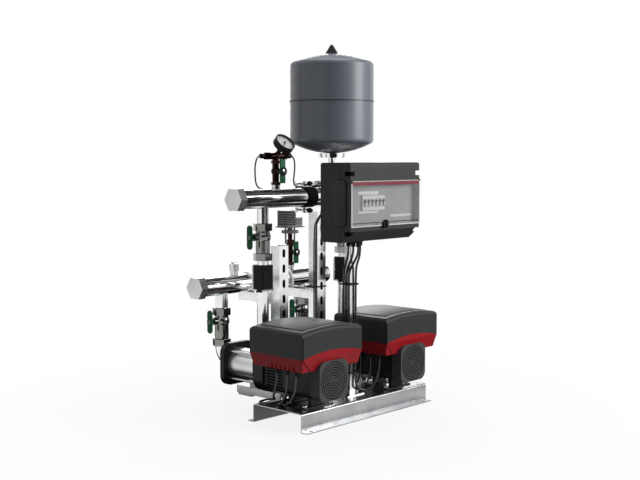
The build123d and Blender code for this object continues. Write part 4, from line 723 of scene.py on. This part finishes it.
@dataclass
class DriveBoxes:
    """Details on the two drive boxes, whose shells are CAD. Limits in X are from a box's left side."""

    width: float = 263
    front: float = -130
    rear: float = 94
    bottom: float = 184
    split: float = 224
    top: float = 312
    crown_radius: float = 791.5
    crown_facets: int = 28
    draft: float = 9
    field_inset: float = 27
    field_rise: float = 1.3
    field_edge: float = 0.6
    shadow_rise: float = 0.4
    shadow_spread: float = 1.3
    corner_line_x: Pair = (0.2, 4)
    corner_line_y: Pair = (-130.5, -129.6)
    corner_line_z: Pair = (224, 289)
    rib_x: Pair = (4.6, 9.6)
    rib_places: tuple[float, ...] = (-84, -66, -48, -30, -12, 6)
    rib_half: float = 1.2
    rib_z: Pair = (184, 199)
    rib_edge: float = 0.5
    shadow_half: float = 1.3
    shadow_depth: Pair = (-0.3, 1.0)
    shadow_reach: float = 0.66
    shadow_slant_deg: float = -45

    def crown(self, across: float) -> float:
        """Height of the lid at a distance from its middle line."""
        return self.top - self.crown_radius + math.sqrt(self.crown_radius**2 - across**2)

    def lid_sheet(self, x: float, rise: float, spread: float, edge: float) -> Form:
        """Shapes a sheet that follows the crowned lid.

        Args:
            x: Middle of the box.
            rise: Height of the sheet over the lid.
            spread: How far it reaches beyond the raised field.
            edge: Width of the rounding of its edges.

        Returns:
            The form.
        """
        form = Form()
        half = self.width / 2 - self.field_inset + spread
        near, far = self.front + self.field_inset - spread, self.rear - self.field_inset + spread
        verts = bmesh.ops.create_grid(form.shape, x_segments=self.crown_facets, y_segments=1, size=1)["verts"]
        bmesh.ops.scale(form.shape, vec=(half, (far - near) / 2, 1), verts=verts)
        for vert in verts:
            vert.co.z = self.crown(vert.co.x) + rise
        raised = bmesh.ops.extrude_face_region(form.shape, geom=form.shape.faces[:])["geom"]
        lower = [item for item in raised if isinstance(item, bmesh.types.BMVert)]
        bmesh.ops.translate(form.shape, vec=(0, 0, -2 * rise), verts=lower)
        form.soften(form.shape.verts[:], edge)
        form.place(form.shape.verts[:], at(x, (near + far) / 2, 0))
        return form

    def shadow_line(self, left: float) -> Form:
        """Shapes the painted shadow line in the lower part's slanted front corner.

        Args:
            left: Left side of the box.

        Returns:
            The form.
        """
        high = self.split - self.bottom
        # The lower part's front leans in by the draft, and the line leans with it
        lean = Matrix.Rotation(math.atan2(self.draft, high), 4, "X")
        slant = Matrix.Rotation(math.radians(self.shadow_slant_deg), 4, "Y")
        middle = at(left + high / 2, self.front + self.draft / 2, self.bottom + high / 2)
        reach = around(0, high * self.shadow_reach)
        return Form().block(around(0, self.shadow_half), self.shadow_depth, reach, 0, middle @ lean @ slant)

    def build(self) -> None:
        """Adds the lid's field and the painted shadow round it, the dark corner line, the ribs and the
        painted shadow line to each box.
        """
        for number, x in enumerate(PUMPS_X, 1):
            raised = self.lid_sheet(x, self.field_rise, 0, self.field_edge)
            raised.piece(f"drive_box_field_{number}", LID_ABS, "black_plastic")
            # Painted shadow: a dark sheet, a little wider and lower than the field, that shows as a line
            # round it
            field_shade = self.lid_sheet(x, self.shadow_rise, self.shadow_spread, 0)
            field_shade.piece(f"drive_box_field_shadow_{number}", SEAL_AND_SHADE, "black_rubber")
            left = x - self.width / 2
            # A dark line down the front of the lid at its left corner
            seal = Form().block(span(left, self.corner_line_x), self.corner_line_y, self.corner_line_z)
            seal.piece(f"drive_box_corner_line_{number}", SEAL_AND_SHADE, "black_rubber")
            ribs = Form()
            for y in self.rib_places:
                ribs.block(span(left, self.rib_x), around(y, self.rib_half), self.rib_z, self.rib_edge)
            ribs.piece(f"drive_box_ribs_{number}", RED_ABS, "red_plastic")
            self.shadow_line(left).piece(f"drive_box_shadow_line_{number}", SEAL_AND_SHADE, "black_rubber")


@dataclass(frozen=True)
class Lever:
    """A large valve's lever: its body, the valve's middle, and the lever's distance from there in X."""

    body: str
    x: float
    y: float
    z: float
    offset: float


def add_nut(body: str, radius: float, height: float, turn: Matrix) -> None:
    """Adds the hexagon nut that holds a valve's lever and turns with it.

    Args:
        body: The lever's body.
        radius: The nut's radius, to the corners.
        height: How far it stands over the lever.
        turn: Frame on the lever's face.
    """
    nut = Form().rod(radius, (0, 0, -NUT_SUNK), (0, 0, height), HEXAGON, NUT_EDGE, turn)
    nut.piece(body + "_nut", FASTENER, "steel_fastener", body)


@dataclass
class Pipework:
    """Weld beads where branches meet the manifolds, and bosses and nuts on the large valve levers."""

    bead: float = 2.0
    bead_sides: int = 8
    # Each branch: its X, its radius, and 1 for up or -1 for down
    suction: tuple[Point, ...] = (
        (PUMPS_X[0], 21.2, -1), (PUMPS_X[1], 21.2, -1), (STUB_X, 13.5, 1), (SWITCH_X, 14, 1),
    )
    discharge: tuple[Point, ...] = (
        (PUMPS_X[0], 19, -1), (PUMPS_X[1], 19, -1), (GAUGE_X, 14, 1), (TANK_X, 16.5, 1),
    )
    levers: tuple[Lever, ...] = (
        Lever("suction_valve_1", PUMPS_X[0], SUCTION_Y, 276, -51),
        Lever("suction_valve_2", PUMPS_X[1], SUCTION_Y, 276, -51),
        Lever("discharge_valve_1", PUMPS_X[0], DISCHARGE_Y, 563, -56),
        Lever("discharge_valve_2", PUMPS_X[1], DISCHARGE_Y, 563, 56),
    )
    lever_half: float = 2.5
    boss_section: Pairs = ((7, -0.6), (10.6, -0.6), (10.6, 1.2), (10, 1.9), (7.6, 1.9), (7, 1.4))
    rib_ends: Pairs = ((-34, -12), (12, 34))
    rib_half: float = 2.2
    rib_depth: Pair = (-0.4, 0.9)
    rib_edge: float = 0.4
    nut_radius: float = 5.6
    nut_height: float = 2.0

    def weld_beads(self) -> None:
        """Adds a bead round the foot of each branch, bent over the manifold's round side."""
        beads = Form()
        turns = [math.tau * step / self.bead_sides for step in range(self.bead_sides)]
        places = [(SUCTION_Y, SUCTION_Z, *branch) for branch in self.suction]
        places += [(DISCHARGE_Y, DISCHARGE_Z, *branch) for branch in self.discharge]
        for y, z, x, radius, way in places:
            section = [(radius + self.bead * math.cos(turn), self.bead * math.sin(turn)) for turn in turns]
            ring = beads.turned(section, Matrix(), RING_STEPS)
            for vert in ring:
                across = min(vert.co.y**2, MANIFOLD_RADIUS**2 - self.bead**2)
                vert.co.z += way * math.sqrt(MANIFOLD_RADIUS**2 - across)
            beads.place(ring, at(x, y, z))
        beads.piece("manifold_weld_beads", WELD, "stainless_pipe")

    def build(self) -> None:
        """Adds the beads, and a boss with ribs and a nut to each lever."""
        self.weld_beads()
        for lever in self.levers:
            face = lever.x + lever.offset + math.copysign(self.lever_half, lever.offset)
            turn = at(face, lever.y, lever.z, "X" if lever.offset > 0 else "-X")
            boss = Form()
            boss.turned(self.boss_section, turn, RING_STEPS)
            for ends in self.rib_ends:
                boss.block(ends, around(0, self.rib_half), self.rib_depth, self.rib_edge, turn)
            boss.piece(lever.body + "_boss", LEVER_VINYL, "green_lever", lever.body)
            add_nut(lever.body, self.nut_radius, self.nut_height, turn)


@dataclass
class CheckValves:
    """Bright bands round the foot and up the rear corner of each check valve."""

    half: float = 24
    foot_z: Pair = (392, 397)
    corner_z: Pair = (392, 470)
    corner: float = 6
    proud: float = 0.9

    def build(self) -> None:
        """Adds the bands."""
        bands = Form()
        front, rear = around(DISCHARGE_Y, self.half)
        for x in PUMPS_X:
            left, right = around(x, self.half)
            outer_left = (left - self.proud, left)
            bands.block((left - self.proud, right + self.proud), (front - self.proud, front), self.foot_z)
            bands.block(outer_left, (front, rear - self.corner), self.foot_z)
            bands.block((right, right + self.proud), (front, rear), self.foot_z)
            bands.block(outer_left, (rear - self.corner, rear), self.corner_z)
        bands.piece("check_valve_bands", FASTENER, "steel_fastener")


@dataclass
class PressureSwitch:
    """Painted shade in the grooves between the ribs of the pressure switch, and dark lines across its
    terminal box.
    """

    low: float = 572
    pitch: float = 6
    count: int = 8
    front_x: Pair = (91, 139)
    front_y: Pair = (346.6, 348.1)
    front_z: Pair = (0, 3)
    side_x: Pair = (90.7, 91.3)
    side_y: Pair = (348, 388)
    side_z: Pair = (0.4, 2.6)
    box_x: Pair = (139, 173)
    box_y: Pair = (346.6, 347.2)
    box_z: Pairs = ((582, 583.4), (592, 593.4))

    def build(self) -> None:
        """Adds the painted shade and the lines."""
        groove_shade = Form()
        for index in range(self.count):
            z = self.low + self.pitch * (index + 1)
            groove_shade.block(self.front_x, self.front_y, span(z, self.front_z))
            groove_shade.block(self.side_x, self.side_y, span(z, self.side_z))
        for zs in self.box_z:
            groove_shade.block(self.box_x, self.box_y, zs)
        groove_shade.piece("pressure_switch_groove_shade", SEAL_AND_SHADE, "black_plastic")


@dataclass
class SmallValves:
    """Rings and nuts on the two small valve levers, which face forwards."""

    levers: tuple[tuple[str, float, float], ...] = (
        ("gauge_valve", GAUGE_X, 769), ("switch_valve", SWITCH_X, 482),
    )
    ring_section: Pairs = ((6.4, -0.5), (13.4, -0.5), (13.4, 1.6), (12.6, 2.4), (7.2, 2.4), (6.4, 1.6))
    nut_radius: float = 6.2
    nut_height: float = 1.6

    def build(self) -> None:
        """Adds a dark ring and a nut to the middle of each lever."""
        for body, x, z in self.levers:
            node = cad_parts[body + "_lever"]
            front = min(corner[1] for corner in node.bound_box) / MM
            turn = at(x, front, z, "-Y")
            ring = Form()
            ring.turned(self.ring_section, turn, RING_STEPS)
            ring.piece(body + "_ring", BLACK_ABS, "black_plastic", body)
            add_nut(body, self.nut_radius, self.nut_height, turn)


@dataclass
class Gauge:
    """Scale of the tilted dial gauge. Each kind of tick: on every how many steps, length, half breadth."""

    z: float = 817
    tilt_deg: float = 45
    dial_lift: float = 56.5
    numbers: tuple[int, ...] = (0, 2, 4, 6, 8, 10)
    ticks_per_number: int = 10
    ticks: tuple[tuple[int, float, float], ...] = ((10, 6, 0.55), (5, 4, 0.35), (1, 2.4, 0.22))
    start_deg: float = 225
    sweep_deg: float = 270
    tick_outer: float = 30
    tick_depth: Pair = (-0.02, 0.12)
    number_radius: float = 20.5
    number_size: float = 6.2
    number_lift: float = 0.06

    def angle(self, step: int, steps: int) -> float:
        """Angle of one step of the scale, in radians."""
        return math.radians(self.start_deg - self.sweep_deg * step / steps)

    def build(self) -> None:
        """Adds ticks and plain numbers to the dial."""
        tilt = Matrix.Rotation(math.radians(self.tilt_deg), 4, "X")
        face = at(GAUGE_X, DISCHARGE_Y, self.z) @ tilt @ at(z=self.dial_lift)
        scale = Form()
        pad_shade = len(self.numbers) - 1
        steps = self.ticks_per_number * pad_shade
        for step in range(steps + 1):
            length, half = next(tick[1:] for tick in self.ticks if step % tick[0] == 0)
            turn = face @ Matrix.Rotation(self.angle(step, steps), 4, "Z")
            reach = (self.tick_outer - length, self.tick_outer)
            scale.block(reach, around(0, half), self.tick_depth, 0, turn)
        for index, number in enumerate(self.numbers):
            angle = self.angle(index, pad_shade)
            across, up = self.number_radius * math.cos(angle), self.number_radius * math.sin(angle)
            scale.words(str(number), self.number_size, face @ at(across, up, self.number_lift))
        scale.piece("gauge_scale", INK, "black_plastic")


@dataclass
class ManifoldClamp:
    """Black rubber lining and bolt caps of the clamp behind the panel."""

    x: float = 10
    section: Pairs = ((30.35, -22), (33.55, -22), (34.15, -21.4), (34.15, 21.4), (33.55, 22), (30.35, 22))
    bolt_offset: float = 43.95
    head_radius: float = 9
    head_y: Pair = (152.6, 162.6)
    head_edge: float = 0.8
    tip_radius: float = 5
    tip_y: Pair = (146.6, 153.6)
    tip_edge: float = 0.6

    def build(self) -> None:
        """Adds the lining and the caps."""
        lining = Form()
        lining.turned(self.section, at(self.x, DISCHARGE_Y, DISCHARGE_Z, "X"))
        lining.piece("clamp_lining", SEAL_AND_SHADE, "black_rubber")
        caps = Form()
        for z in around(DISCHARGE_Z, self.bolt_offset):
            head, tip = ([(self.x, y, z) for y in limits] for limits in (self.head_y, self.tip_y))
            caps.rod(self.head_radius, *head, HEXAGON, self.head_edge)
            caps.rod(self.tip_radius, *tip, ROD_SIDES, self.tip_edge)
        caps.piece("clamp_bolt_caps", BLACK_ABS, "black_plastic")


@dataclass
class Columns:
    """Black strips in the open backs of the slotted channels: painted shade, so that the slots read dark."""

    half_width: float = 17.8
    depth: Pair = (237, 238.5)
    places: tuple[tuple[float, Pair], ...] = ((-62.5, (6, 522)), (118.5, (6, 725)))

    def build(self) -> None:
        """Adds a strip to each column."""
        strips = Form()
        for x, height in self.places:
            strips.block(around(x, self.half_width), self.depth, height)
        strips.piece("column_shade_strips", SEAL_AND_SHADE, "black_plastic")


@dataclass
class Tank:
    """Painted shadow: a dark line round the tank's seam."""

    seam: float = 998
    section: Pairs = ((140.9, -1), (141.75, -1), (141.75, 1), (140.9, 1))
    steps: int = 160

    def build(self) -> None:
        """Adds the line."""
        line = Form()
        line.turned(self.section, at(TANK_X, DISCHARGE_Y, self.seam), self.steps)
        line.piece("tank_seam_shadow", SEAL_AND_SHADE, "black_rubber")


@dataclass
class SwitchPanel:
    """Light inside of the switch panel, its trim, breakers and seals."""

    left: float = -156
    right: float = 174
    front: float = -167

    bay_x: Pair = (-151, 169)
    bay_z: Pair = (606, 740)
    bay_floor: float = -148
    fascia: float = 0.6
    latch_gap: float = 15
    latch_rear: float = -159

    breaker_left: float = -86
    module: float = 17.4
    bank_size: int = 3
    opening_x: Pair = (-87, 19.4)
    opening_z: Pair = (651.5, 698.5)
    cheek_reach: Pair = (4.8, 8.5)
    cheek_y: Pair = (-155.5, -146.5)
    cheek_z: Pair = (663.3, 686.7)
    cheek_edge: float = 0.6
    toggle_y: float = -151
    toggle_z: float = 675
    toggle_hub: float = 4.3
    toggle_slope_deg: float = -40
    toggle_half: float = 3.6
    toggle_reach: Pair = (-12.8, 0)
    toggle_thickness: Pair = (-2, 2)
    toggle_edge: float = 0.7
    label_y: Pair = (-149.4, -148.5)
    label_edge: float = 0.3
    labels: tuple[tuple[Pair, Pair], ...] = (
        ((-101, -6), (699.5, 710)), ((-101, -6), (643, 650.5)), ((51, 158), (628, 635)),
    )

    window_y: Pair = (-171.05, -170.6)
    strip_x: Pair = (-150, 168)
    strip_z: Pair = (729, 740)
    side_edges_x: Pairs = ((-156, -152), (170, 174))
    side_edge_z: Pair = (604.2, 734)
    lower_edges_x: Pairs = ((-152, -15), (15, 170))
    lower_edge_z: Pair = (604.2, 607.6)
    hinge_edge_z: Pair = (740.4, 742)
    lower_shadows_x: Pairs = ((-151, -15), (15, 169))
    lower_shadow_z: Pair = (614.5, 616.5)

    pad_outline: Pairs = (
        (-101, 616), (-110, 606), (-141, 606), (-150, 616),
        (-150, 735), (-141, 745), (-110, 745), (-101, 735),
    )
    pad_depth: float = 3.5
    pad_sunk: float = 0.5
    pad_edge: float = 0.9
    shadow_spread: float = 1.8
    pad_shadow_depth: float = 0.7
    seam_y: Pair = (-126.8, -125.2)
    side_seals_x: Pairs = ((-156.3, -155.5), (173.5, 174.3))
    side_seal_z: Pair = (559, 789)
    top_seal_x: Pair = (-154, 172)
    top_seal_z: Pair = (796.5, 797.3)
    pockets_x: Pairs = ((-155.4, -137.6), (155.6, 173.4))
    pocket_y: Pair = (-143.8, -143.1)
    pockets_z: Pairs = ((577.4, 590.6), (757.4, 770.6))

    def lining(self) -> None:
        """Adds the light grey fascia on the floor and the walls of the bay."""
        (left, right), (bottom, top) = self.bay_x, self.bay_z
        floor = (self.bay_floor - self.fascia, self.bay_floor)
        deep = (self.front, self.bay_floor)
        sill = (bottom, bottom + self.fascia)
        lining = Form()
        for xs, ys, zs in (
            ((left, self.opening_x[0]), floor, self.bay_z),
            ((self.opening_x[1], right), floor, self.bay_z),
            (self.opening_x, floor, (bottom, self.opening_z[0])),
            (self.opening_x, floor, (self.opening_z[1], top)),
            ((left, left + self.fascia), deep, self.bay_z),
            ((right - self.fascia, right), deep, self.bay_z),
            ((left, -self.latch_gap), deep, sill),
            ((self.latch_gap, right), deep, sill),
            (around(0, self.latch_gap), (self.latch_rear, self.bay_floor), sill),
            (self.bay_x, deep, (top - self.fascia, top)),
        ):
            lining.block(xs, ys, zs)
        lining.piece("panel_bay_lining", FASCIA, "panel_plastic")

    def breakers(self) -> None:
        """Adds cheeks beside the toggles, narrow toggles in place of the CAD bars, and bare label strips."""
        cheeks = Form()
        tilt = Matrix.Rotation(math.radians(self.toggle_slope_deg), 4, "X")
        slope = at(0, self.toggle_y, self.toggle_z) @ tilt
        for bank in (1, 2):
            toggles = Form()
            for index in range((bank - 1) * self.bank_size, bank * self.bank_size):
                middle = self.breaker_left + index * self.module + self.module / 2
                near, far = self.cheek_reach
                for cheek_x in ((middle - far, middle - near), (middle + near, middle + far)):
                    cheeks.block(cheek_x, self.cheek_y, self.cheek_z, self.cheek_edge)
                hub = [(x, self.toggle_y, self.toggle_z) for x in around(middle, self.toggle_hub)]
                toggles.rod(self.toggle_hub, *hub, ROD_SIDES)
                toggles.block(around(middle, self.toggle_half), self.toggle_reach, self.toggle_thickness,
                              self.toggle_edge, slope)
            toggles.piece(f"breaker_toggles_shown_{bank}", INK, "black_plastic", f"breaker_{bank}",
                          (f"breaker_toggles_{bank}",))
        cheeks.piece("breaker_noses", WHITE_PA, "breaker_white")
        labels = Form()
        for xs, zs in self.labels:
            labels.block(xs, self.label_y, zs, self.label_edge)
        labels.piece("panel_label_strips", WHITE_PA, "breaker_white")

    def window_trim(self) -> None:
        """Adds the printed strip, the painted highlights on the polished edges and the painted shadow along
        the lower edge, which move with the flap.
        """
        strip = Form().block(self.strip_x, self.window_y, self.strip_z)
        strip.piece("window_red_strip", TRIM_RED, "red_plastic", "window_flap")
        # Painted highlight: white strips where the flap's polished edges catch the light
        edges = Form()
        for xs in self.side_edges_x:
            edges.block(xs, self.window_y, self.side_edge_z)
        for xs in self.lower_edges_x:
            edges.block(xs, self.window_y, self.lower_edge_z)
        edges.block(self.strip_x, self.window_y, self.hinge_edge_z)
        edges.piece("window_edge_highlights", EDGE_HIGHLIGHT_WHITE, "clear_window", "window_flap")
        # Painted shadow: a dark line under the flap's lower return
        seal = Form()
        for xs in self.lower_shadows_x:
            seal.block(xs, self.window_y, self.lower_shadow_z)
        seal.piece("window_lower_shadow", SEAL_AND_SHADE, "black_rubber", "window_flap")

    def side_pads(self) -> None:
        """Adds the raised pad on each side and the painted shadow round it."""
        # The outline is drawn in Y and Z, and the slab's depth runs along X
        upright = Matrix(((0, 0, 1, 0), (1, 0, 0, 0), (0, 1, 0, 0), (0, 0, 0, 1)))
        middle = sum((Vector(corner) for corner in self.pad_outline), Vector((0, 0))) / len(self.pad_outline)
        wider = [
            tuple(a + math.copysign(self.shadow_spread, a - b) for a, b in zip(corner, middle))
            for corner in self.pad_outline
        ]
        pads = Form()
        for x in (self.left + self.pad_sunk - self.pad_depth, self.right - self.pad_sunk):
            pads.slab(self.pad_outline, self.pad_depth, at(x) @ upright, self.pad_edge)
        pads.piece("panel_side_pads", PANEL_ABS, "panel_plastic")
        # Painted shadow: a dark slab a little wider than the pad, showing round its edge
        pad_shade = Form()
        for x in (self.left, self.right):
            pad_shade.slab(wider, self.pad_shadow_depth, at(x - self.pad_shadow_depth / 2) @ upright)
        pad_shade.piece("panel_pad_shadows", SEAL_AND_SHADE, "black_rubber")

    def shell_seal(self) -> None:
        """Adds the seal round the seam of the shell and the dark pockets at its corners."""
        seal = Form()
        for xs in self.side_seals_x:
            seal.block(xs, self.seam_y, self.side_seal_z)
        seal.block(self.top_seal_x, self.seam_y, self.top_seal_z)
        for xs in self.pockets_x:
            for zs in self.pockets_z:
                seal.block(xs, self.pocket_y, zs)
        seal.piece("panel_seal", SEAL_AND_SHADE, "black_rubber")

    def build(self) -> None:
        """Builds every part of the panel's dressing."""
        self.lining()
        self.breakers()
        self.window_trim()
        self.side_pads()
        self.shell_seal()


DRESSING: tuple[tuple[Surface, str], ...] = (
    (SHEET, "base_plate rear_frame"),
    (ZINC_STRUT, "short_column tall_column pipe_clamps"),
    (POST_TUBE, "panel_post"),
    (FASTENER, "foot_bolts tie_rods"),
    (CASTING, "motor_housings pump_heads inlet_covers"),
    (COWL_PA, "fan_covers"),
    (FAN_PA, "fan_1 fan_2"),
    (BLACK_ABS, "check_valve_bodies check_valve_straps gauge_case gauge_needle "
                "tank_air_cap window_latch cable_glands cable_ties"),
    (LID_ABS, "drive_box_covers"),
    (RED_ABS, "drive_box_bases"),
    (PANEL_ABS, "panel_housing panel_cover"),
    (PIPE_X, "suction_manifold discharge_manifold"),
    (PIPE_Z, "branch_pipes tank_stem"),
    (SLEEVE, "pump_sleeves"),
    (CAP_NICKEL, "manifold_caps"),
    (NICKEL, "union_nuts valve_bodies"),
    (BRONZE, "sensor_fittings"),
    (STEEL, "motor_stators bearings_and_seals shaft_1 shaft_2 check_disc_1 check_disc_2"),
    (LEVER_VINYL, "suction_lever_1 suction_lever_2 discharge_lever_1 "
                  "discharge_lever_2 gauge_valve_lever switch_valve_lever"),
    (TANK_ENAMEL, "tank_upper_shell tank_lower_shell"),
    (RUBBER, "pump_cables sensor_leads tank_diaphragm"),
    (WINDOW_CLEAR, "panel_window"),
    (LENS_CLEAR, "gauge_lens"),
    (DIAL, "gauge_dial"),
    (WHITE_PA, "breakers"),
    (BOARD, "drive_boards"),
    (GREY_PA, "pressure_switch"),
)


def main() -> None:
    """Builds the studio and every sub-assembly in order."""
    logging.basicConfig(level=logging.INFO, format="%(message)s")
    bpy.context.scene.view_settings.view_transform = "Standard"
    Studio().build()
    for finish, nodes in DRESSING:
        dress(nodes.split(), finish)
    for assembly in (DriveBoxes(), Pipework(), CheckValves(), PressureSwitch(), SmallValves(), Gauge(),
                     ManifoldClamp(), Columns(), Tank(), SwitchPanel()):
        assembly.build()


if __name__ == "__main__":
    main()
